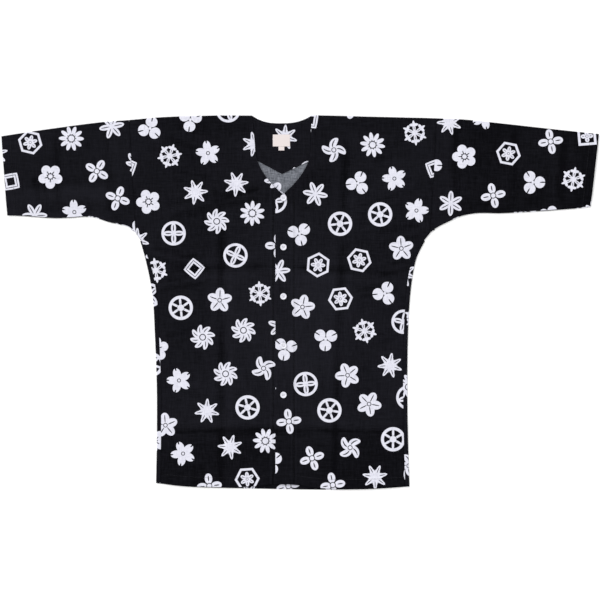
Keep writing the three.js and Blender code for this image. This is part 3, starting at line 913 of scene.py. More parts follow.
# Ordinary figures for the print, each folded into equal turns round its middle. A petal and a branch are
# ellipses added, and a slit is one cut away: out and aside give the middle, long and broad the half sizes,
# as shares of the figure's radius. A button is a disc at the centre with a groove round it, a rim is a
# round band of that breadth at the outside, a whirl leans the petals round, and a plate is a straight-sided
# band between two distances.
FIGURES = table(
    "name turns petal_out petal_long petal_broad slit_out slit_long slit_broad button groove "
    "rim whirl plate_out plate_in branch_out branch_aside branch_long branch_broad",
    [
        ("plum blossom", 5, 0.6, 0.38, 0.38, 0.34, 0.15, 0.04, 0.18, 0.25),
        ("squared flower", 4, 0.27, 0.22, 0.17, 0.3, 0.1, 0.02, 0.09, 0.12, 0, 0, 0.76, 0.5),
        ("cherry blossom", 5, 0.55, 0.45, 0.31, 0.98, 0.2, 0.06, 0.1, 0.16),
        ("well frame", 4, 0.47, 0.17, 0.98, 0.47, 0.028, 0.62),
        ("chrysanthemum", 10, 0.62, 0.38, 0.16, 0.34, 0.06, 0.03, 0.24, 0.31),
        ("tortoise shell", 6, 0.33, 0.25, 0.15, 0.36, 0.12, 0.02, 0.08, 0.11, 0, 0, 0.9, 0.66),
        ("hemp leaf", 6, 0.52, 0.48, 0.22, 0.52, 0.34, 0.035, 0.06, 0.06),
        ("ringed coin", 4, 0.42, 0.42, 0.2, 0.42, 0.24, 0.04, 0.09, 0.09, 0.27),
        ("pinwheel", 4, 0.52, 0.47, 0.31, 0.54, 0.3, 0.05, 0.14, 0.2, 0, 0.14),
        ("snow star", 6, 0.52, 0.48, 0.12, 0.4, 0.14, 0.025, 0.22, 0.22, 0, 0, 0, 0, 0.66, 0.17, 0.11, 0.19),
        ("bellflower", 5, 0.5, 0.5, 0.36, 0.52, 0.32, 0.04, 0.12, 0.18),
        ("diamonds", 4, 0.58, 0.42, 0.3, 0.6, 0.22, 0.045, 0.18, 0.24),
        ("clover", 3, 0.54, 0.43, 0.47, 0.82, 0.28, 0.05, 0.12, 0.12),
        ("cart wheel", 6, 0.5, 0.4, 0.09, 0.3, 0.04, 0.02, 0.26, 0.26, 0.3),
        ("dahlia", 8, 0.58, 0.42, 0.22, 0.62, 0.22, 0.035, 0.2, 0.27, 0, 0.1),
        ("maple star", 7, 0.52, 0.48, 0.15, 0.6, 0.24, 0.03, 0.22, 0.22, 0, 0, 0, 0, 0.4, 0.12, 0.22, 0.09),
    ],
)


@dataclass(frozen=True)
class FigurePrint:
    """A white print of scattered figures, the same for every panel, as a node group that gives a mask.

    The cloth's flat cut is parted into slanting rows. Each cell takes one figure by chance, moves it a
    little off its middle and turns it by chance.
    """

    name: str = "figure print"
    column: float = 84  # millimetres from figure to figure along a row
    row: float = 75
    slant: float = -0.2  # turn of the rows, in radians
    shift: float = 0.37  # of a column, from each row to the next
    stray: float = 15
    most_turns: float = 16  # the turns are kept in a colour, as a share of this
    sharpness: float = 55
    radius: float = 25.5

    def ramp(self, tree: NodeTree, choice: NodeSocket, columns: list[str]) -> NodeSocket:
        """Look up as many as three columns of the table of figures by a constant colour ramp.

        Args:
            tree: The tree to add to.
            choice: The chance number, from 0 to 1.
            columns: The columns' names.

        Returns:
            The ramp's colour, with the columns' values, none of them quite zero.
        """
        node = add_node(tree, "ShaderNodeValToRGB", {}, {0: choice})
        stops = node.color_ramp
        stops.interpolation = "CONSTANT"
        while len(stops.elements) < len(FIGURES):
            stops.elements.new(1)
        for i, figure in enumerate(FIGURES):
            stops.elements[i].position = i / len(FIGURES)
            values = [figure[c] / (self.most_turns if c == "turns" else 1) for c in columns]
            spare = [0.0] * (3 - len(columns))
            stops.elements[i].color = (*(max(value, 0.001) for value in values), *spare, 1)
        return node.outputs[0]

    def group(self) -> NodeTree:
        """Build the group.

        Returns:
            The node group, with an input for the cut's coordinates in metres and an output for the mask.
        """
        tree = bpy.data.node_groups.new(self.name, "ShaderNodeTree")
        tree.interface.new_socket("Cut", in_out="INPUT", socket_type="NodeSocketVector")
        tree.interface.new_socket("Mask", in_out="OUTPUT", socket_type="NodeSocketFloat")
        cut = add_node(tree, "NodeGroupInput").outputs[0]
        made: dict[str, NodeSocket] = {}

        def steps(kind: str, *rows: tuple) -> None:
            """Add nodes of a kind.

            Args:
                kind: The nodes' type name.
                rows: For each a name, its operation, and what it reads by name or value.
            """
            for name, operation, *reads in rows:
                links = {i: made[r] if isinstance(r, str) else r for i, r in enumerate(reads)}
                node = add_node(tree, kind, {"operation": operation}, links)
                made[name] = node.outputs["Value" if operation == "LENGTH" else 0]

        size = (self.column * METRES, self.row * METRES, 1)
        about_z = {"rotation_type": "Z_AXIS"}
        slanted = add_node(tree, "ShaderNodeVectorRotate", about_z, {0: cut, 3: self.slant})
        made["slanted"] = slanted.outputs[0]
        steps(VECTOR_MATH, ("lattice", "DIVIDE", "slanted", size))
        lattice = add_node(tree, "ShaderNodeSeparateXYZ", {}, {0: made["lattice"]})
        made["u"], made["v"] = lattice.outputs[0], lattice.outputs[1]
        steps(
            MATH,
            ("row", "FLOOR", "v"),
            ("row shift", "MULTIPLY", "row", self.shift),
            ("u shifted", "ADD", "u", "row shift"),
            ("column", "FLOOR", "u shifted"),
            ("u within", "SUBTRACT", "u shifted", "column"),
            ("v within", "SUBTRACT", "v", "row"),
        )
        cell = add_node(tree, "ShaderNodeCombineXYZ", {}, {0: made["column"], 1: made["row"]})
        within = add_node(tree, "ShaderNodeCombineXYZ", {}, {0: made["u within"], 1: made["v within"]})
        chance = add_node(tree, "ShaderNodeTexWhiteNoise", {"noise_dimensions": "2D"}, {0: cell.outputs[0]})
        made["within"], made["chance"] = within.outputs[0], chance.outputs["Color"]
        steps(
            VECTOR_MATH,
            ("centred", "SUBTRACT", "within", (0.5, 0.5, 0)),
            ("sized", "MULTIPLY", "centred", size),
            ("off", "SUBTRACT", "chance", (0.5, 0.5, 0.5)),
            ("stray", "MULTIPLY", "off", (self.stray * METRES, self.stray * METRES, 0)),
            ("strayed", "SUBTRACT", "sized", "stray"),
            ("scaled", "DIVIDE", "strayed", (self.radius * METRES, self.radius * METRES, 1)),
            ("flat", "MULTIPLY", "scaled", (1, 1, 0)),
            ("r", "LENGTH", "flat"),
        )
        spin = add_node(tree, "ShaderNodeSeparateColor", {}, {0: made["chance"]})
        made["pick"], made["spin"] = chance.outputs["Value"], spin.outputs[2]
        figure = add_node(tree, "ShaderNodeSeparateXYZ", {}, {0: made["flat"]})
        made["fx"], made["fy"] = figure.outputs[0], figure.outputs[1]

        for name, *columns in (
            ("petal", "petal_out"),
            ("petal size", "petal_long", "petal_broad"),
            ("branch", "branch_out", "branch_aside"),
            ("branch size", "branch_long", "branch_broad"),
            ("slit", "slit_out"),
            ("slit size", "slit_long", "slit_broad"),
        ):
            made[name] = self.ramp(tree, made["pick"], columns)
        for columns in (["turns", "whirl", "rim"], ["button", "groove"], ["plate_out", "plate_in"]):
            colour = self.ramp(tree, made["pick"], columns)
            split = add_node(tree, "ShaderNodeSeparateColor", {}, {0: colour})
            made.update(zip(columns, split.outputs))

        steps(
            MATH,
            ("angle", "ARCTAN2", "fy", "fx"),
            ("full turn", "MULTIPLY", "spin", 2 * np.pi),
            ("leaning", "MULTIPLY", "r", "whirl"),
            ("lean", "MULTIPLY", "leaning", 2 * np.pi),
            ("turned", "ADD", "angle", "full turn"),
            ("leant", "ADD", "turned", "lean"),
            ("count", "MULTIPLY", "turns", self.most_turns / (2 * np.pi)),
            ("petals round", "MULTIPLY", "leant", "count"),
            ("petal share", "ADD", "petals round", 100.5),
            ("fraction", "FRACT", "petal share"),
            ("from middle", "SUBTRACT", "fraction", 0.5),
            ("folded", "DIVIDE", "from middle", "count"),
            ("cosine", "COSINE", "folded"),
            ("sine", "SINE", "folded"),
            ("out", "MULTIPLY", "r", "cosine"),
            ("side", "MULTIPLY", "r", "sine"),
            ("aside", "ABSOLUTE", "side"),
        )
        place = add_node(tree, "ShaderNodeCombineXYZ", {}, {0: made["out"], 1: made["aside"]})
        made["place"] = place.outputs[0]
        for name in ("petal", "branch", "slit"):
            steps(
                VECTOR_MATH,
                (f"{name} away", "SUBTRACT", "place", name),
                (f"{name} ratio", "DIVIDE", f"{name} away", f"{name} size"),
                (f"{name} plane", "MULTIPLY", f"{name} ratio", (1, 1, 0)),
                (f"{name} length", "LENGTH", f"{name} plane"),
            )
            steps(MATH, (f"{name} inside", "SUBTRACT", 1, f"{name} length"))
        steps(
            MATH,
            ("leaves", "MAXIMUM", "petal inside", "branch inside"),
            ("slit outside", "MULTIPLY", "slit inside", -6),
            ("slit cut", "MINIMUM", "leaves", "slit outside"),
            ("past groove", "SUBTRACT", "r", "groove"),
            ("past groove, sharp", "MULTIPLY", "past groove", 4),
            ("round the groove", "MINIMUM", "slit cut", "past groove, sharp"),
            ("in the button", "SUBTRACT", "button", "r"),
            ("with button", "MAXIMUM", "round the groove", "in the button"),
            ("rim foot", "SUBTRACT", 1, "rim"),
            ("past rim", "SUBTRACT", "r", "rim foot"),
            ("rim edge", "SUBTRACT", 1, "r"),
            ("in the rim", "MINIMUM", "past rim", "rim edge"),
            ("past plate", "SUBTRACT", "out", "plate_in"),
            ("plate edge", "SUBTRACT", "plate_out", "out"),
            ("in the plate", "MINIMUM", "past plate", "plate edge"),
            ("bands", "MAXIMUM", "in the rim", "in the plate"),
            ("bands, where there are any", "SUBTRACT", "bands", 0.03),
            ("figure", "MAXIMUM", "with button", "bands, where there are any"),
            ("within reach", "SUBTRACT", 1.02, "r"),
            ("kept", "MINIMUM", "figure", "within reach"),
            ("sharp", "MULTIPLY", "kept", self.sharpness),
            ("edge", "ADD", "sharp", 0.5),
            ("mask", "MAXIMUM", "edge", 0),
            ("whole", "MINIMUM", "mask", 1),
        )
        add_node(tree, "NodeGroupOutput", {}, {0: made["whole"]})
        return tree


def surfaced(
    tree: NodeTree, colour: NodeSocket, height: NodeSocket, finish: "PrintedCotton | PlainFinish"
) -> None:
    """Finish a material's tree with a bump, the surface and the output.

    Args:
        tree: The tree.
        colour: The colour's socket.
        height: The relief's socket.
        finish: The finish, which says how deep and strong the relief is and how the surface shines.
    """
    bump = {"Strength": finish.relief, "Distance": finish.deep * METRES, "Height": height}
    links = {
        "Base Color": colour,
        "Normal": add_node(tree, "ShaderNodeBump", {}, bump).outputs[0],
        "Roughness": finish.roughness,
        "Specular IOR Level": finish.specular,
        "Sheen Weight": finish.sheen,
    }
    shader = add_node(tree, "ShaderNodeBsdfPrincipled", {}, links)
    add_node(tree, "ShaderNodeOutputMaterial", {}, {0: shader.outputs[0]})


def new_material(name: str) -> Material:
    """A material with an empty tree.

    Args:
        name: The material's name.

    Returns:
        The material.
    """
    material = bpy.data.materials.new(name)
    material.use_nodes = True
    material.node_tree.nodes.clear()
    return material


@dataclass(frozen=True)
class PrintedCotton:
    """Plain-weave cotton with the ground printed black and the figures left white.

    The print lies on one face. It gives a matt black, lighter by the points' tone with its painted light and
    shade and by slubs of thicker yarn, and the figures are the bare white cloth. On the wrong side the black
    has only half come through.
    """

    wrong_side: bool = False
    black: str = "#050508"
    # The lighter black, for slubs of thicker yarn and for painted light.
    black_slub_and_painted_light: str = "#24242b"
    white: str = "#dadae4"
    white_slub: str = "#bfbfcc"
    grey: str = "#2d3036"
    grey_slub: str = "#7d8088"
    thread: float = 0.9  # millimetres; the real thread is half this, drawn coarser so that it shows
    slub: float = 15
    streak: float = 42  # unevenness of whole groups of threads
    slubs_show: float = 0.22
    streaks_show: float = 0.45
    roughness: float = 0.88
    specular: float = 0.03
    sheen: float = 0.02
    relief: float = 0.45
    deep: float = 0.3

    @property
    def name(self) -> str:
        """The material's name."""
        return "printed cotton, wrong side" if self.wrong_side else "printed cotton, right side"

    def drawn_out(self, tree: NodeTree, cut: NodeSocket, long: float, fine: float) -> NodeSocket:
        """Noise drawn out along the threads of both directions and added, so that its middle is 1.

        Args:
            tree: The tree to add to.
            cut: The cut's coordinates.
            long: Millimetres along a thread.
            fine: Millimetres across it.

        Returns:
            The sum.
        """
        both = {}
        for i, (x, y) in enumerate(((long, fine), (fine, long))):
            placed = add_node(tree, "ShaderNodeMapping", {}, {0: cut, 3: (PER_METRE / x, PER_METRE / y, 1)})
            noise = add_node(tree, "ShaderNodeTexNoise", {}, {0: placed.outputs[0], 2: 1, 3: 3, 4: 0.6})
            both[i] = noise.outputs[0]
        return add_node(tree, MATH, {"operation": "ADD"}, both).outputs[0]

    def ground(self, tree: NodeTree, cut: NodeSocket, spread: NodeSocket) -> NodeSocket:
        """The printed ground: black by its tone with painted light and shade, slubs and streaks, or the
        mottled grey of the wrong side.

        Args:
            tree: The tree to add to.
            cut: The cut's coordinates.
            spread: The slubs, from 0 to 1.

        Returns:
            The ground's colour.
        """
        if self.wrong_side:
            cloud = add_node(tree, "ShaderNodeTexNoise", {}, {0: cut, 2: 110, 3: 4, 4: 0.65})
            lifted = {0: cloud.outputs[0], 1: 1.1, 2: -0.3}
            mottled = add_node(tree, MATH, {"operation": "MULTIPLY_ADD"}, lifted)
            links = {0: mottled.outputs[0], 1: spread}
            tone = add_node(tree, MATH, {"operation": "ADD", "use_clamp": True}, links)
            colours = {6: linear(self.grey), 7: linear(self.grey_slub)}
        else:
            # The points' tone, which carries painted light and shade.
            tone_and_painted_light_attribute = add_node(tree, "ShaderNodeAttribute", {"attribute_name": "worn"}).outputs["Fac"]
            uneven = add_node(tree, MATH, {"operation": "SUBTRACT"}, {0: spread, 1: 0.5})
            links = {0: uneven.outputs[0], 1: self.slubs_show, 2: tone_and_painted_light_attribute}
            slubbed = add_node(tree, MATH, {"operation": "MULTIPLY_ADD"}, links)
            streak = self.drawn_out(tree, cut, self.streak, self.streak / 14)
            level = add_node(tree, MATH, {"operation": "SUBTRACT"}, {0: streak, 1: 1})
            links = {0: level.outputs[0], 1: self.streaks_show, 2: slubbed.outputs[0]}
            tone = add_node(tree, MATH, {"operation": "MULTIPLY_ADD", "use_clamp": True}, links)
            colours = {6: linear(self.black), 7: linear(self.black_slub_and_painted_light)}
        return add_node(tree, *COLOUR_MIX, {0: tone.outputs[0], **colours}).outputs[2]

    def material(self) -> Material:
        """Build the material.

        Returns:
            The material.
        """
        material = new_material(self.name)
        tree = material.node_tree
        cut = add_node(tree, "ShaderNodeUVMap", {"uv_map": "cut"}).outputs[0]
        slub = self.drawn_out(tree, cut, self.slub, self.thread)
        smooth = {"interpolation_type": "SMOOTHSTEP"}
        spread = add_node(tree, "ShaderNodeMapRange", smooth, {0: slub, 1: 0.82, 2: 1.28}).outputs[0]
        ground = self.ground(tree, cut, spread)
        whites = {0: spread, 6: linear(self.white), 7: linear(self.white_slub)}
        bare = add_node(tree, *COLOUR_MIX, whites).outputs[2]
        figures = FigurePrint()
        group = bpy.data.node_groups.get(figures.name) or figures.group()
        mask = add_node(tree, "ShaderNodeGroup", {"node_tree": group}, {0: cut}).outputs[0]
        colour = add_node(tree, *COLOUR_MIX, {0: mask, 6: ground, 7: bare}).outputs[2]

        weave = {}
        for i, direction in enumerate("XY"):
            settings = {"wave_type": "BANDS", "bands_direction": direction}
            links = {0: cut, 1: PER_METRE / self.thread / (2 * np.pi), 2: 0}
            weave[i] = add_node(tree, "ShaderNodeTexWave", settings, links).outputs[1]
        crossing = add_node(tree, MATH, {"operation": "MULTIPLY"}, weave).outputs[0]
        height = add_node(tree, MATH, {"operation": "MULTIPLY_ADD"}, {0: crossing, 1: 0.3, 2: slub})
        surfaced(tree, colour, height.outputs[0], self)
        return material


@dataclass(frozen=True)
class PlainFinish:
    """A material of one kind with a fine grain: the label's satin weave, sewing thread or button plastic."""

    name: str
    colour: str
    second: str
    grain: float  # millimetres
    roughness: float
    specular: float
    relief: float
    sheen: float = 0.0
    deep: float = 0.2

    def material(self) -> Material:
        """Build the material.

        Returns:
            The material.
        """
        material = new_material(self.name)
        tree = material.node_tree
        place = add_node(tree, "ShaderNodeTexCoord").outputs["Object"]
        grain = {0: place, 2: PER_METRE / self.grain, 3: 3, 4: 0.6}
        noise = add_node(tree, "ShaderNodeTexNoise", {}, grain).outputs[0]
        colours = {0: noise, 6: linear(self.colour), 7: linear(self.second)}
        colour = add_node(tree, *COLOUR_MIX, colours).outputs[2]
        surfaced(tree, colour, noise, self)
        return material


# Woven polyester satin: smooth, cream, with a faint grain across it.
LABEL_SATIN = PlainFinish("woven label satin", "#ded4d2", "#cfc5c3", 0.8, 0.6, 0.3, 0.3, 0.05)
# Spun polyester sewing thread: black and a little glossier than the cloth.
BLACK_THREAD = PlainFinish("black sewing thread", "#141418", "#24242b", 0.4, 0.6, 0.25, 0.4)
# The same thread in white, through the buttons and round the label.
WHITE_THREAD = PlainFinish("white sewing thread", "#ececf2", "#dcdce4", 0.4, 0.6, 0.4, 0.4)
# Polyester button blank, turned and tumbled to a soft shine, with a faint cloudiness.
BUTTON_POLYESTER = PlainFinish("polished button polyester", "#dedee6", "#d0d0da", 2.5, 0.28, 0.5, 0.05)


# Pieces


def set_down(
    name: str, mesh: Mesh, finishes: list[PrintedCotton | PlainFinish], slot: Slot, *nodes: str
) -> Object:
    """Make a piece's object, dress it and let it ride with the shirt.

    Args:
        name: The piece's name.
        mesh: Its mesh, in place.
        finishes: The finish of each material place.
        slot: Not used.
        nodes: The solids that it stands for.

    Returns:
        The object.
    """
    for finish in finishes:
        mesh.materials.append(bpy.data.materials.get(finish.name) or finish.material())
    mesh.name = name
    piece = placed(name, mesh)
    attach(piece, BODY)
    if nodes:
        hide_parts(*nodes)
    log.info("%s: %d faces", name, len(mesh.polygons))
    return piece


COTTON = [PrintedCotton(), PrintedCotton(wrong_side=True)]


def seam_pucker(distance: np.ndarray, along: np.ndarray) -> np.ndarray:
    """The cloth beside a seam: a dip of half a millimetre at the seam, and small uneven puckers that fade."""
    puckers = 0.17 * uneven_wave(along, 1.9, 1.6, along, 17) * np.exp(-distance / 8)
    return puckers - 0.45 * bell(distance, 1.7)


def stitch_pucker(distance: np.ndarray, along: np.ndarray) -> np.ndarray:
    """The cloth beside a row of stitching: small uneven puckers that fade within 3 on both sides."""
    return 0.12 * uneven_wave(along, 2.7, 1.7, along, 19) * bell(distance, 3)


def plan_area(grid: np.ndarray) -> float:
    """Area of a grid's outline in square metres, by the crossed products of its points in turn.

    Args:
        grid: Points in millimetres.

    Returns:
        The area.
    """
    loop = np.concatenate([grid[0], grid[1:, -1], grid[-1, -2::-1], grid[-2:0:-1, 0]])
    x, y = loop[:, 0], loop[:, 1]
    return float(abs(np.sum(x * np.roll(y, -1) - y * np.roll(x, -1))) / 2) * METRES**2


@dataclass
class Back:
    """The back: one panel flat on the surface, wrapped round both sides onto the fronts."""

    pitch: float = 4.0
    about_long: float = 760  # to space the grid by
    shift: tuple[float, float] = (930, 610)
    hem_turned: float = 20
    hem_thick: float = 0.35  # what the turned hem adds
    top_roll: tuple[float, float] = (2.4, 0.5)  # how far in from the top edge, and how high
    wave: float = 0.12
    cut_wide: float = 0.650  # metres
    cut_long: float = 0.785

    def panel(self) -> Shell:
        """The part of the back that lies on the surface, lifting a little at the shoulders and neck.

        Its underside is flat but for a quarter ellipse up at the top edge, and its upper face lies above
        that by the cloth, the turned hem and a slow uneven wave.

        Returns:
            The shell.
        """
        block = BLOCK
        near, far = (through(block.side_line(side, block.flange, CLOTH.seam, 0)) for side in Side)
        band = self.hem_turned + np.array([-10, -1.2, 0, 1.2])
        rows = ladder(np.append(EDGE, band), EDGE[:4], self.about_long, self.pitch)
        marks = [-block.armhole_top, block.neck_right, block.neck_left, block.armhole_top]
        columns = rungs_through(marks, self.pitch)
        x, y = plan_grid((block.hem, block.back_top, near, far), rows, columns)
        from_top = block.back_top(x) - y
        edge = rolled(from_top, *self.top_roll)
        turned = self.hem_thick * (1 - smoothstep(y - block.hem(x), self.hem_turned, self.hem_turned + 1.2))
        wave = self.wave * uneven_wave(x, 17, 1.3, y, 31) * np.sin(y / 21) * smoothstep(from_top, 4, 20)
        upper = CLOTH.shell + turned + self.wave + wave + 0.4 * edge
        hem = (y - block.hem(x))[:-1, :-1] < self.hem_turned
        outer, inner = stacked(x, y, edge), stacked(x, y, upper)
        # Its tone carries painted light and shade.
        return Shell(outer, inner, self.shift, turned_in=hem, worn=LIE.worn(x, y))

    def wrap(self, side: Side) -> Shell:
        """A strip round a side: from the panel out to the fold, half a circle over, and in to the seam.

        Args:
            side: Which side.

        Returns:
            The shell.
        """
        places, inward = BLOCK.side_path(side)
        width = BLOCK.wrap_width(places[:, 1])[:, None]
        angle = np.radians(spaced(-90, 90, 12))
        reach, sag = np.array([0.4, 0.75, 0.9, 1.0]), np.array([0, 0, 0.1, 0.4])

        def strip(radius: float) -> np.ndarray:
            """Points of one face: distance in from the edge and height, carried along the side.

            Args:
                radius: The face's radius round the fold.

            Returns:
                The points.
            """
            turned = np.tile(CLOTH.fold - radius * np.cos(angle), (len(width), 1))
            over = CLOTH.fold + (width - CLOTH.fold) * reach
            inside = np.concatenate([np.full_like(width, BLOCK.flange), turned, over], axis=1)
            rise = CLOTH.fold + radius * np.sin(angle)
            x, y = (places[:, k, None] + inward[:, k, None] * inside for k in range(2))
            return stacked(x, y, np.concatenate([rise[:1], rise, rise[-1] - sag]))

        outer, inner = strip(CLOTH.fold), strip(CLOTH.fold - CLOTH.shell)
        flat = outer[:, :1, :2] - inward[:, None] * along_rows(outer)[:, :, None]
        return Shell(outer, inner, self.shift, flat)

    def build(self) -> Object:
        """Make the back and work out its cut's area.

        Returns:
            The object.
        """
        panel = self.panel()
        shells = [panel, self.wrap(Side.RIGHT), self.wrap(Side.LEFT)]
        mesh = joined("back", [shell.mesh(f"back {i}") for i, shell in enumerate(shells)])
        piece = set_down("back_cloth", mesh, COTTON, Slot.PRINTED_COTTON, "back")
        wraps = 2 * BLOCK.wrap * (BLOCK.wrap_top - BLOCK.hem_y) * METRES**2
        area = plan_area(panel.outer) + wraps
        return piece


@dataclass
class Front:
    """A front: turned back and stitched at its edge and hem, with the creases of the packet in it."""

    side: Side
    shift: tuple[float, float]
    pitch: float = 2.6
    about_long: float = 760  # to space the grid by
    about_wide: float = 268
    top_roll: tuple[float, float] = (2.6, 0.8)  # how far in from the edge, and how deep
    edge_roll: tuple[float, float] = (1.4, 0.3)
    neck_pucker: float = 0.13
    neck_foot: tuple[float, float] = (205, 225)  # where the neck's puckers begin and are whole
    row_end: tuple[float, float] = (250, 232)  # where the painted light and shade beside the stitching end, and are whole
    cut_wide: float = 0.345  # metres
    cut_long: float = 0.785

    @property
    def name(self) -> str:
        """The name of the solid that it stands for."""
        return f"front_{self.side.name.lower()}"

    def outer_edge(self) -> Edge:
        """The edge along the back's wrap and up the armhole.

        Returns:
            A function that reads it.
        """
        places, _ = BLOCK.side_path(self.side)
        inset = BLOCK.wrap_width(places[:, 1]) + CLOTH.seam
        return through(BLOCK.side_line(self.side, inset, CLOTH.seam, CLOTH.seam))

    def plan(self) -> tuple[np.ndarray, np.ndarray, np.ndarray, np.ndarray]:
        """The grid's places, close together at the edges and at both stitched bands.

        Returns:
            The places across and along, and their distances from the inner and the outer edge.
        """
        inner, outer = partial(BLOCK.front_edge, self.side), self.outer_edge()
        hem = np.concatenate([EDGE, np.arange(5, 18, self.pitch), LIE.hem_depth + BAND_END])
        band = np.arange(5.2, 36, self.pitch)
        step = LIE.placket + np.array([-1.6, -0.4, 0.8, 2, 3.2, 5])
        rows = ladder(hem, EDGE, self.about_long, self.pitch)
        near, far = np.concatenate([EDGE, band, step]), np.append(EDGE, 4.2)
        columns = ladder(near, far, self.about_wide, self.pitch)
        x, y = plan_grid((BLOCK.front_hem, BLOCK.top, inner, outer), rows, columns)
        return x, y, np.abs(inner(y) - x), np.abs(outer(y) - x)

    def creased(self, x: np.ndarray, y: np.ndarray) -> np.ndarray:
        """Height of the outer face with its creases and bands, before it rests on the back."""
        return LIE.front(self.side, x, y) + LIE.creasing(x, y) * (0.35 + 0.65 * LIE.fade(x, y))

    def resting(self, height: np.ndarray, x: np.ndarray, y: np.ndarray) -> np.ndarray:
        """Heights kept above the back, which the front rests on at the foot of a trough."""
        bands = LIE.placket_step(self.side, x, y) + LIE.hem_step(x, y)
        return kept_above(height, CLOTH.layer + CLOTH.gap + bands)

    def height_at(self, x: np.ndarray, y: np.ndarray) -> np.ndarray:
        """Height of the outer face at places on it."""
        return self.resting(self.creased(x, y), x, y)

    def worn(self, x: np.ndarray, y: np.ndarray, inner: np.ndarray, outer: np.ndarray) -> np.ndarray:
        """How light the black looks: the lie's, with a painted highlight at the inner edge and beside the
        stitching, and painted shade along the seam and on the stitching.

        Args:
            x: Places across.
            y: Places along.
            inner: Distance from the inner edge.
            outer: Distance from the outer edge.

        Returns:
            The shares, from 0 to 1.
        """
        from_row = np.abs(x - LIE.stitch_line(self.side))
        # Painted shade on the row of stitching, and a painted highlight on the cloth beside it.
        row = 0.12 * bell(from_row - 3.5, 2.5) - 0.25 * bell(from_row, 1.6)
        # A painted highlight on the rolled inner edge, and painted shade in the seam at the outer edge.
        edges = 0.10 * bell(inner, 1.6) - 0.13 * bell(outer, 2.2)
        return np.clip(LIE.worn(x, y) + smoothstep(y, *self.row_end) * row + edges, 0, 1)

    def shell(self) -> Shell:
        """The front's grid with all its relief.

        To the creased height come puckers beside the seam, along the neck and beside both rows of stitching.
        It is then kept above the back, and falls by a quarter ellipse at every edge but the seam's.

        Returns:
            The shell.
        """
        x, y, from_inner, from_outer = self.plan()
        from_row = np.abs(x - LIE.stitch_line(self.side))
        from_hem = y - BLOCK.front_hem(x)
        height = self.creased(x, y)
        height += seam_pucker(from_outer, y) * np.where(y > BLOCK.underarm_y, 1, 0.7)
        neck = self.neck_pucker * uneven_wave(y, 3.1, 1.4, y, 23) * smoothstep(y, *self.neck_foot)
        height += neck * np.exp(-from_inner / 7)
        height += stitch_pucker(from_row, y) + stitch_pucker(from_hem - LIE.hem_depth, x)
        height = self.resting(height, x, y)
        height -= rolled(BLOCK.top(x) - y, *self.top_roll)
        height -= rolled(from_inner, *self.edge_roll) + rolled(from_hem, *self.edge_roll)
        folded = np.maximum(LIE.placket_step(self.side, x, y), LIE.hem_step(x, y)) / LIE.band
        under = height - CLOTH.shell - (CLOTH.turned - CLOTH.shell) * folded
        # The tone, with painted light and shade in it.
        worn = self.worn(x, y, from_inner, from_outer)
        return Shell(stacked(x, y, height), stacked(x, y, under), self.shift, worn=worn)

    def build(self) -> Object:
        """Returns:
            The object.
        """
        shell = self.shell()
        piece = set_down(f"{self.name}_cloth", shell.mesh(self.name), COTTON, Slot.PRINTED_COTTON, self.name)
        return (piece, plan_area(shell.outer))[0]


@dataclass
class Sleeve:
    """A sleeve: a flat tube folded along its top, with its seam below, set in at the armhole."""

    side: Side
    shift: tuple[float, float]
    pitch: float = 3.0
    about_wide: float = 200  # to space the grid by
    cuff_roll: tuple[float, float] = (1.4, 0.25)  # how far in from the edge, and how deep
    lowest: float = -0.2  # how far the upper layer may sink below the folds
    allowance_height: float = 1.22
    allowance_thick: float = 0.35

    @property
    def name(self) -> str:
        """The name of the solid that it stands for."""
        return f"sleeve_{self.side.name.lower()}"

    @property
    def length(self) -> float:
        """The length along the top fold, from the armhole to the cuff."""
        return abs(TOP_EDGE["at"][self.side.pick(0, -1)]) - BLOCK.armhole_top

    def ends(self, share: np.ndarray) -> tuple[np.ndarray, np.ndarray, np.ndarray]:
        """The lower and upper fold at shares of the length, and the width between them.

        Args:
            share: Shares of the length, from the armhole to the cuff.

        Returns:
            The points on both folds, and the widths.
        """
        folds = []
        for inner, edge in ((BLOCK.armhole_foot, SLEEVE_EDGE[self.side]), (BLOCK.armhole_top, TOP_EDGE)):
            start = self.side.value * (inner + CLOTH.seam)
            x = start * (1 - share) + edge["at"][self.side.pick(0, -1)] * share
            folds.append(stacked(x, along_table(edge, x)))
        low, high = folds
        return low, high, np.linalg.norm(high - low, axis=-1)

    def creased(self, x: np.ndarray, y: np.ndarray) -> np.ndarray:
        """The air and the creases of the upper layer, above its height at the folds."""
        fade = LIE.fade(x, y)
        return LIE.air(x, y) + LIE.creasing(x, y) * (0.2 + 0.8 * fade) * smoothstep(fade, 0, 0.2)

    def height_at(self, x: np.ndarray, y: np.ndarray) -> np.ndarray:
        """Height of the upper layer's outer face at places on it."""
        return 2 * CLOTH.fold + self.creased(x, y) + LIE.band * smoothstep(LIE.fade(x, y), 0, 0.5)

    def relief(self, x: np.ndarray, y: np.ndarray, from_cuff: np.ndarray, outermost: bool) -> np.ndarray:
        """What the upper layer adds to its height at the folds.

        Args:
            x: Places across.
            y: Places along.
            from_cuff: Distance from the cuff.
            outermost: Whether this is the outer face, which has the step of the turned cuff.

        Returns:
            The air and creases, the puckers at the armhole and the cuff's stitching, and the step.
        """
        fade = LIE.fade(x, y)
        free = smoothstep(fade, 0, 0.5)
        puckers = seam_pucker(np.abs(np.abs(x) - BLOCK.armhole(y)), y)
        puckers = puckers + stitch_pucker(from_cuff - LIE.cuff_depth, y)
        relief = self.creased(x, y) + puckers * smoothstep(fade, 0, 0.3)
        relief -= rolled(from_cuff, *self.cuff_roll) * free
        step = LIE.band * (1 - smoothstep(from_cuff, LIE.cuff_depth, LIE.cuff_depth + 1.5)) * free
        return np.maximum(relief, self.lowest) + (step if outermost else 0)

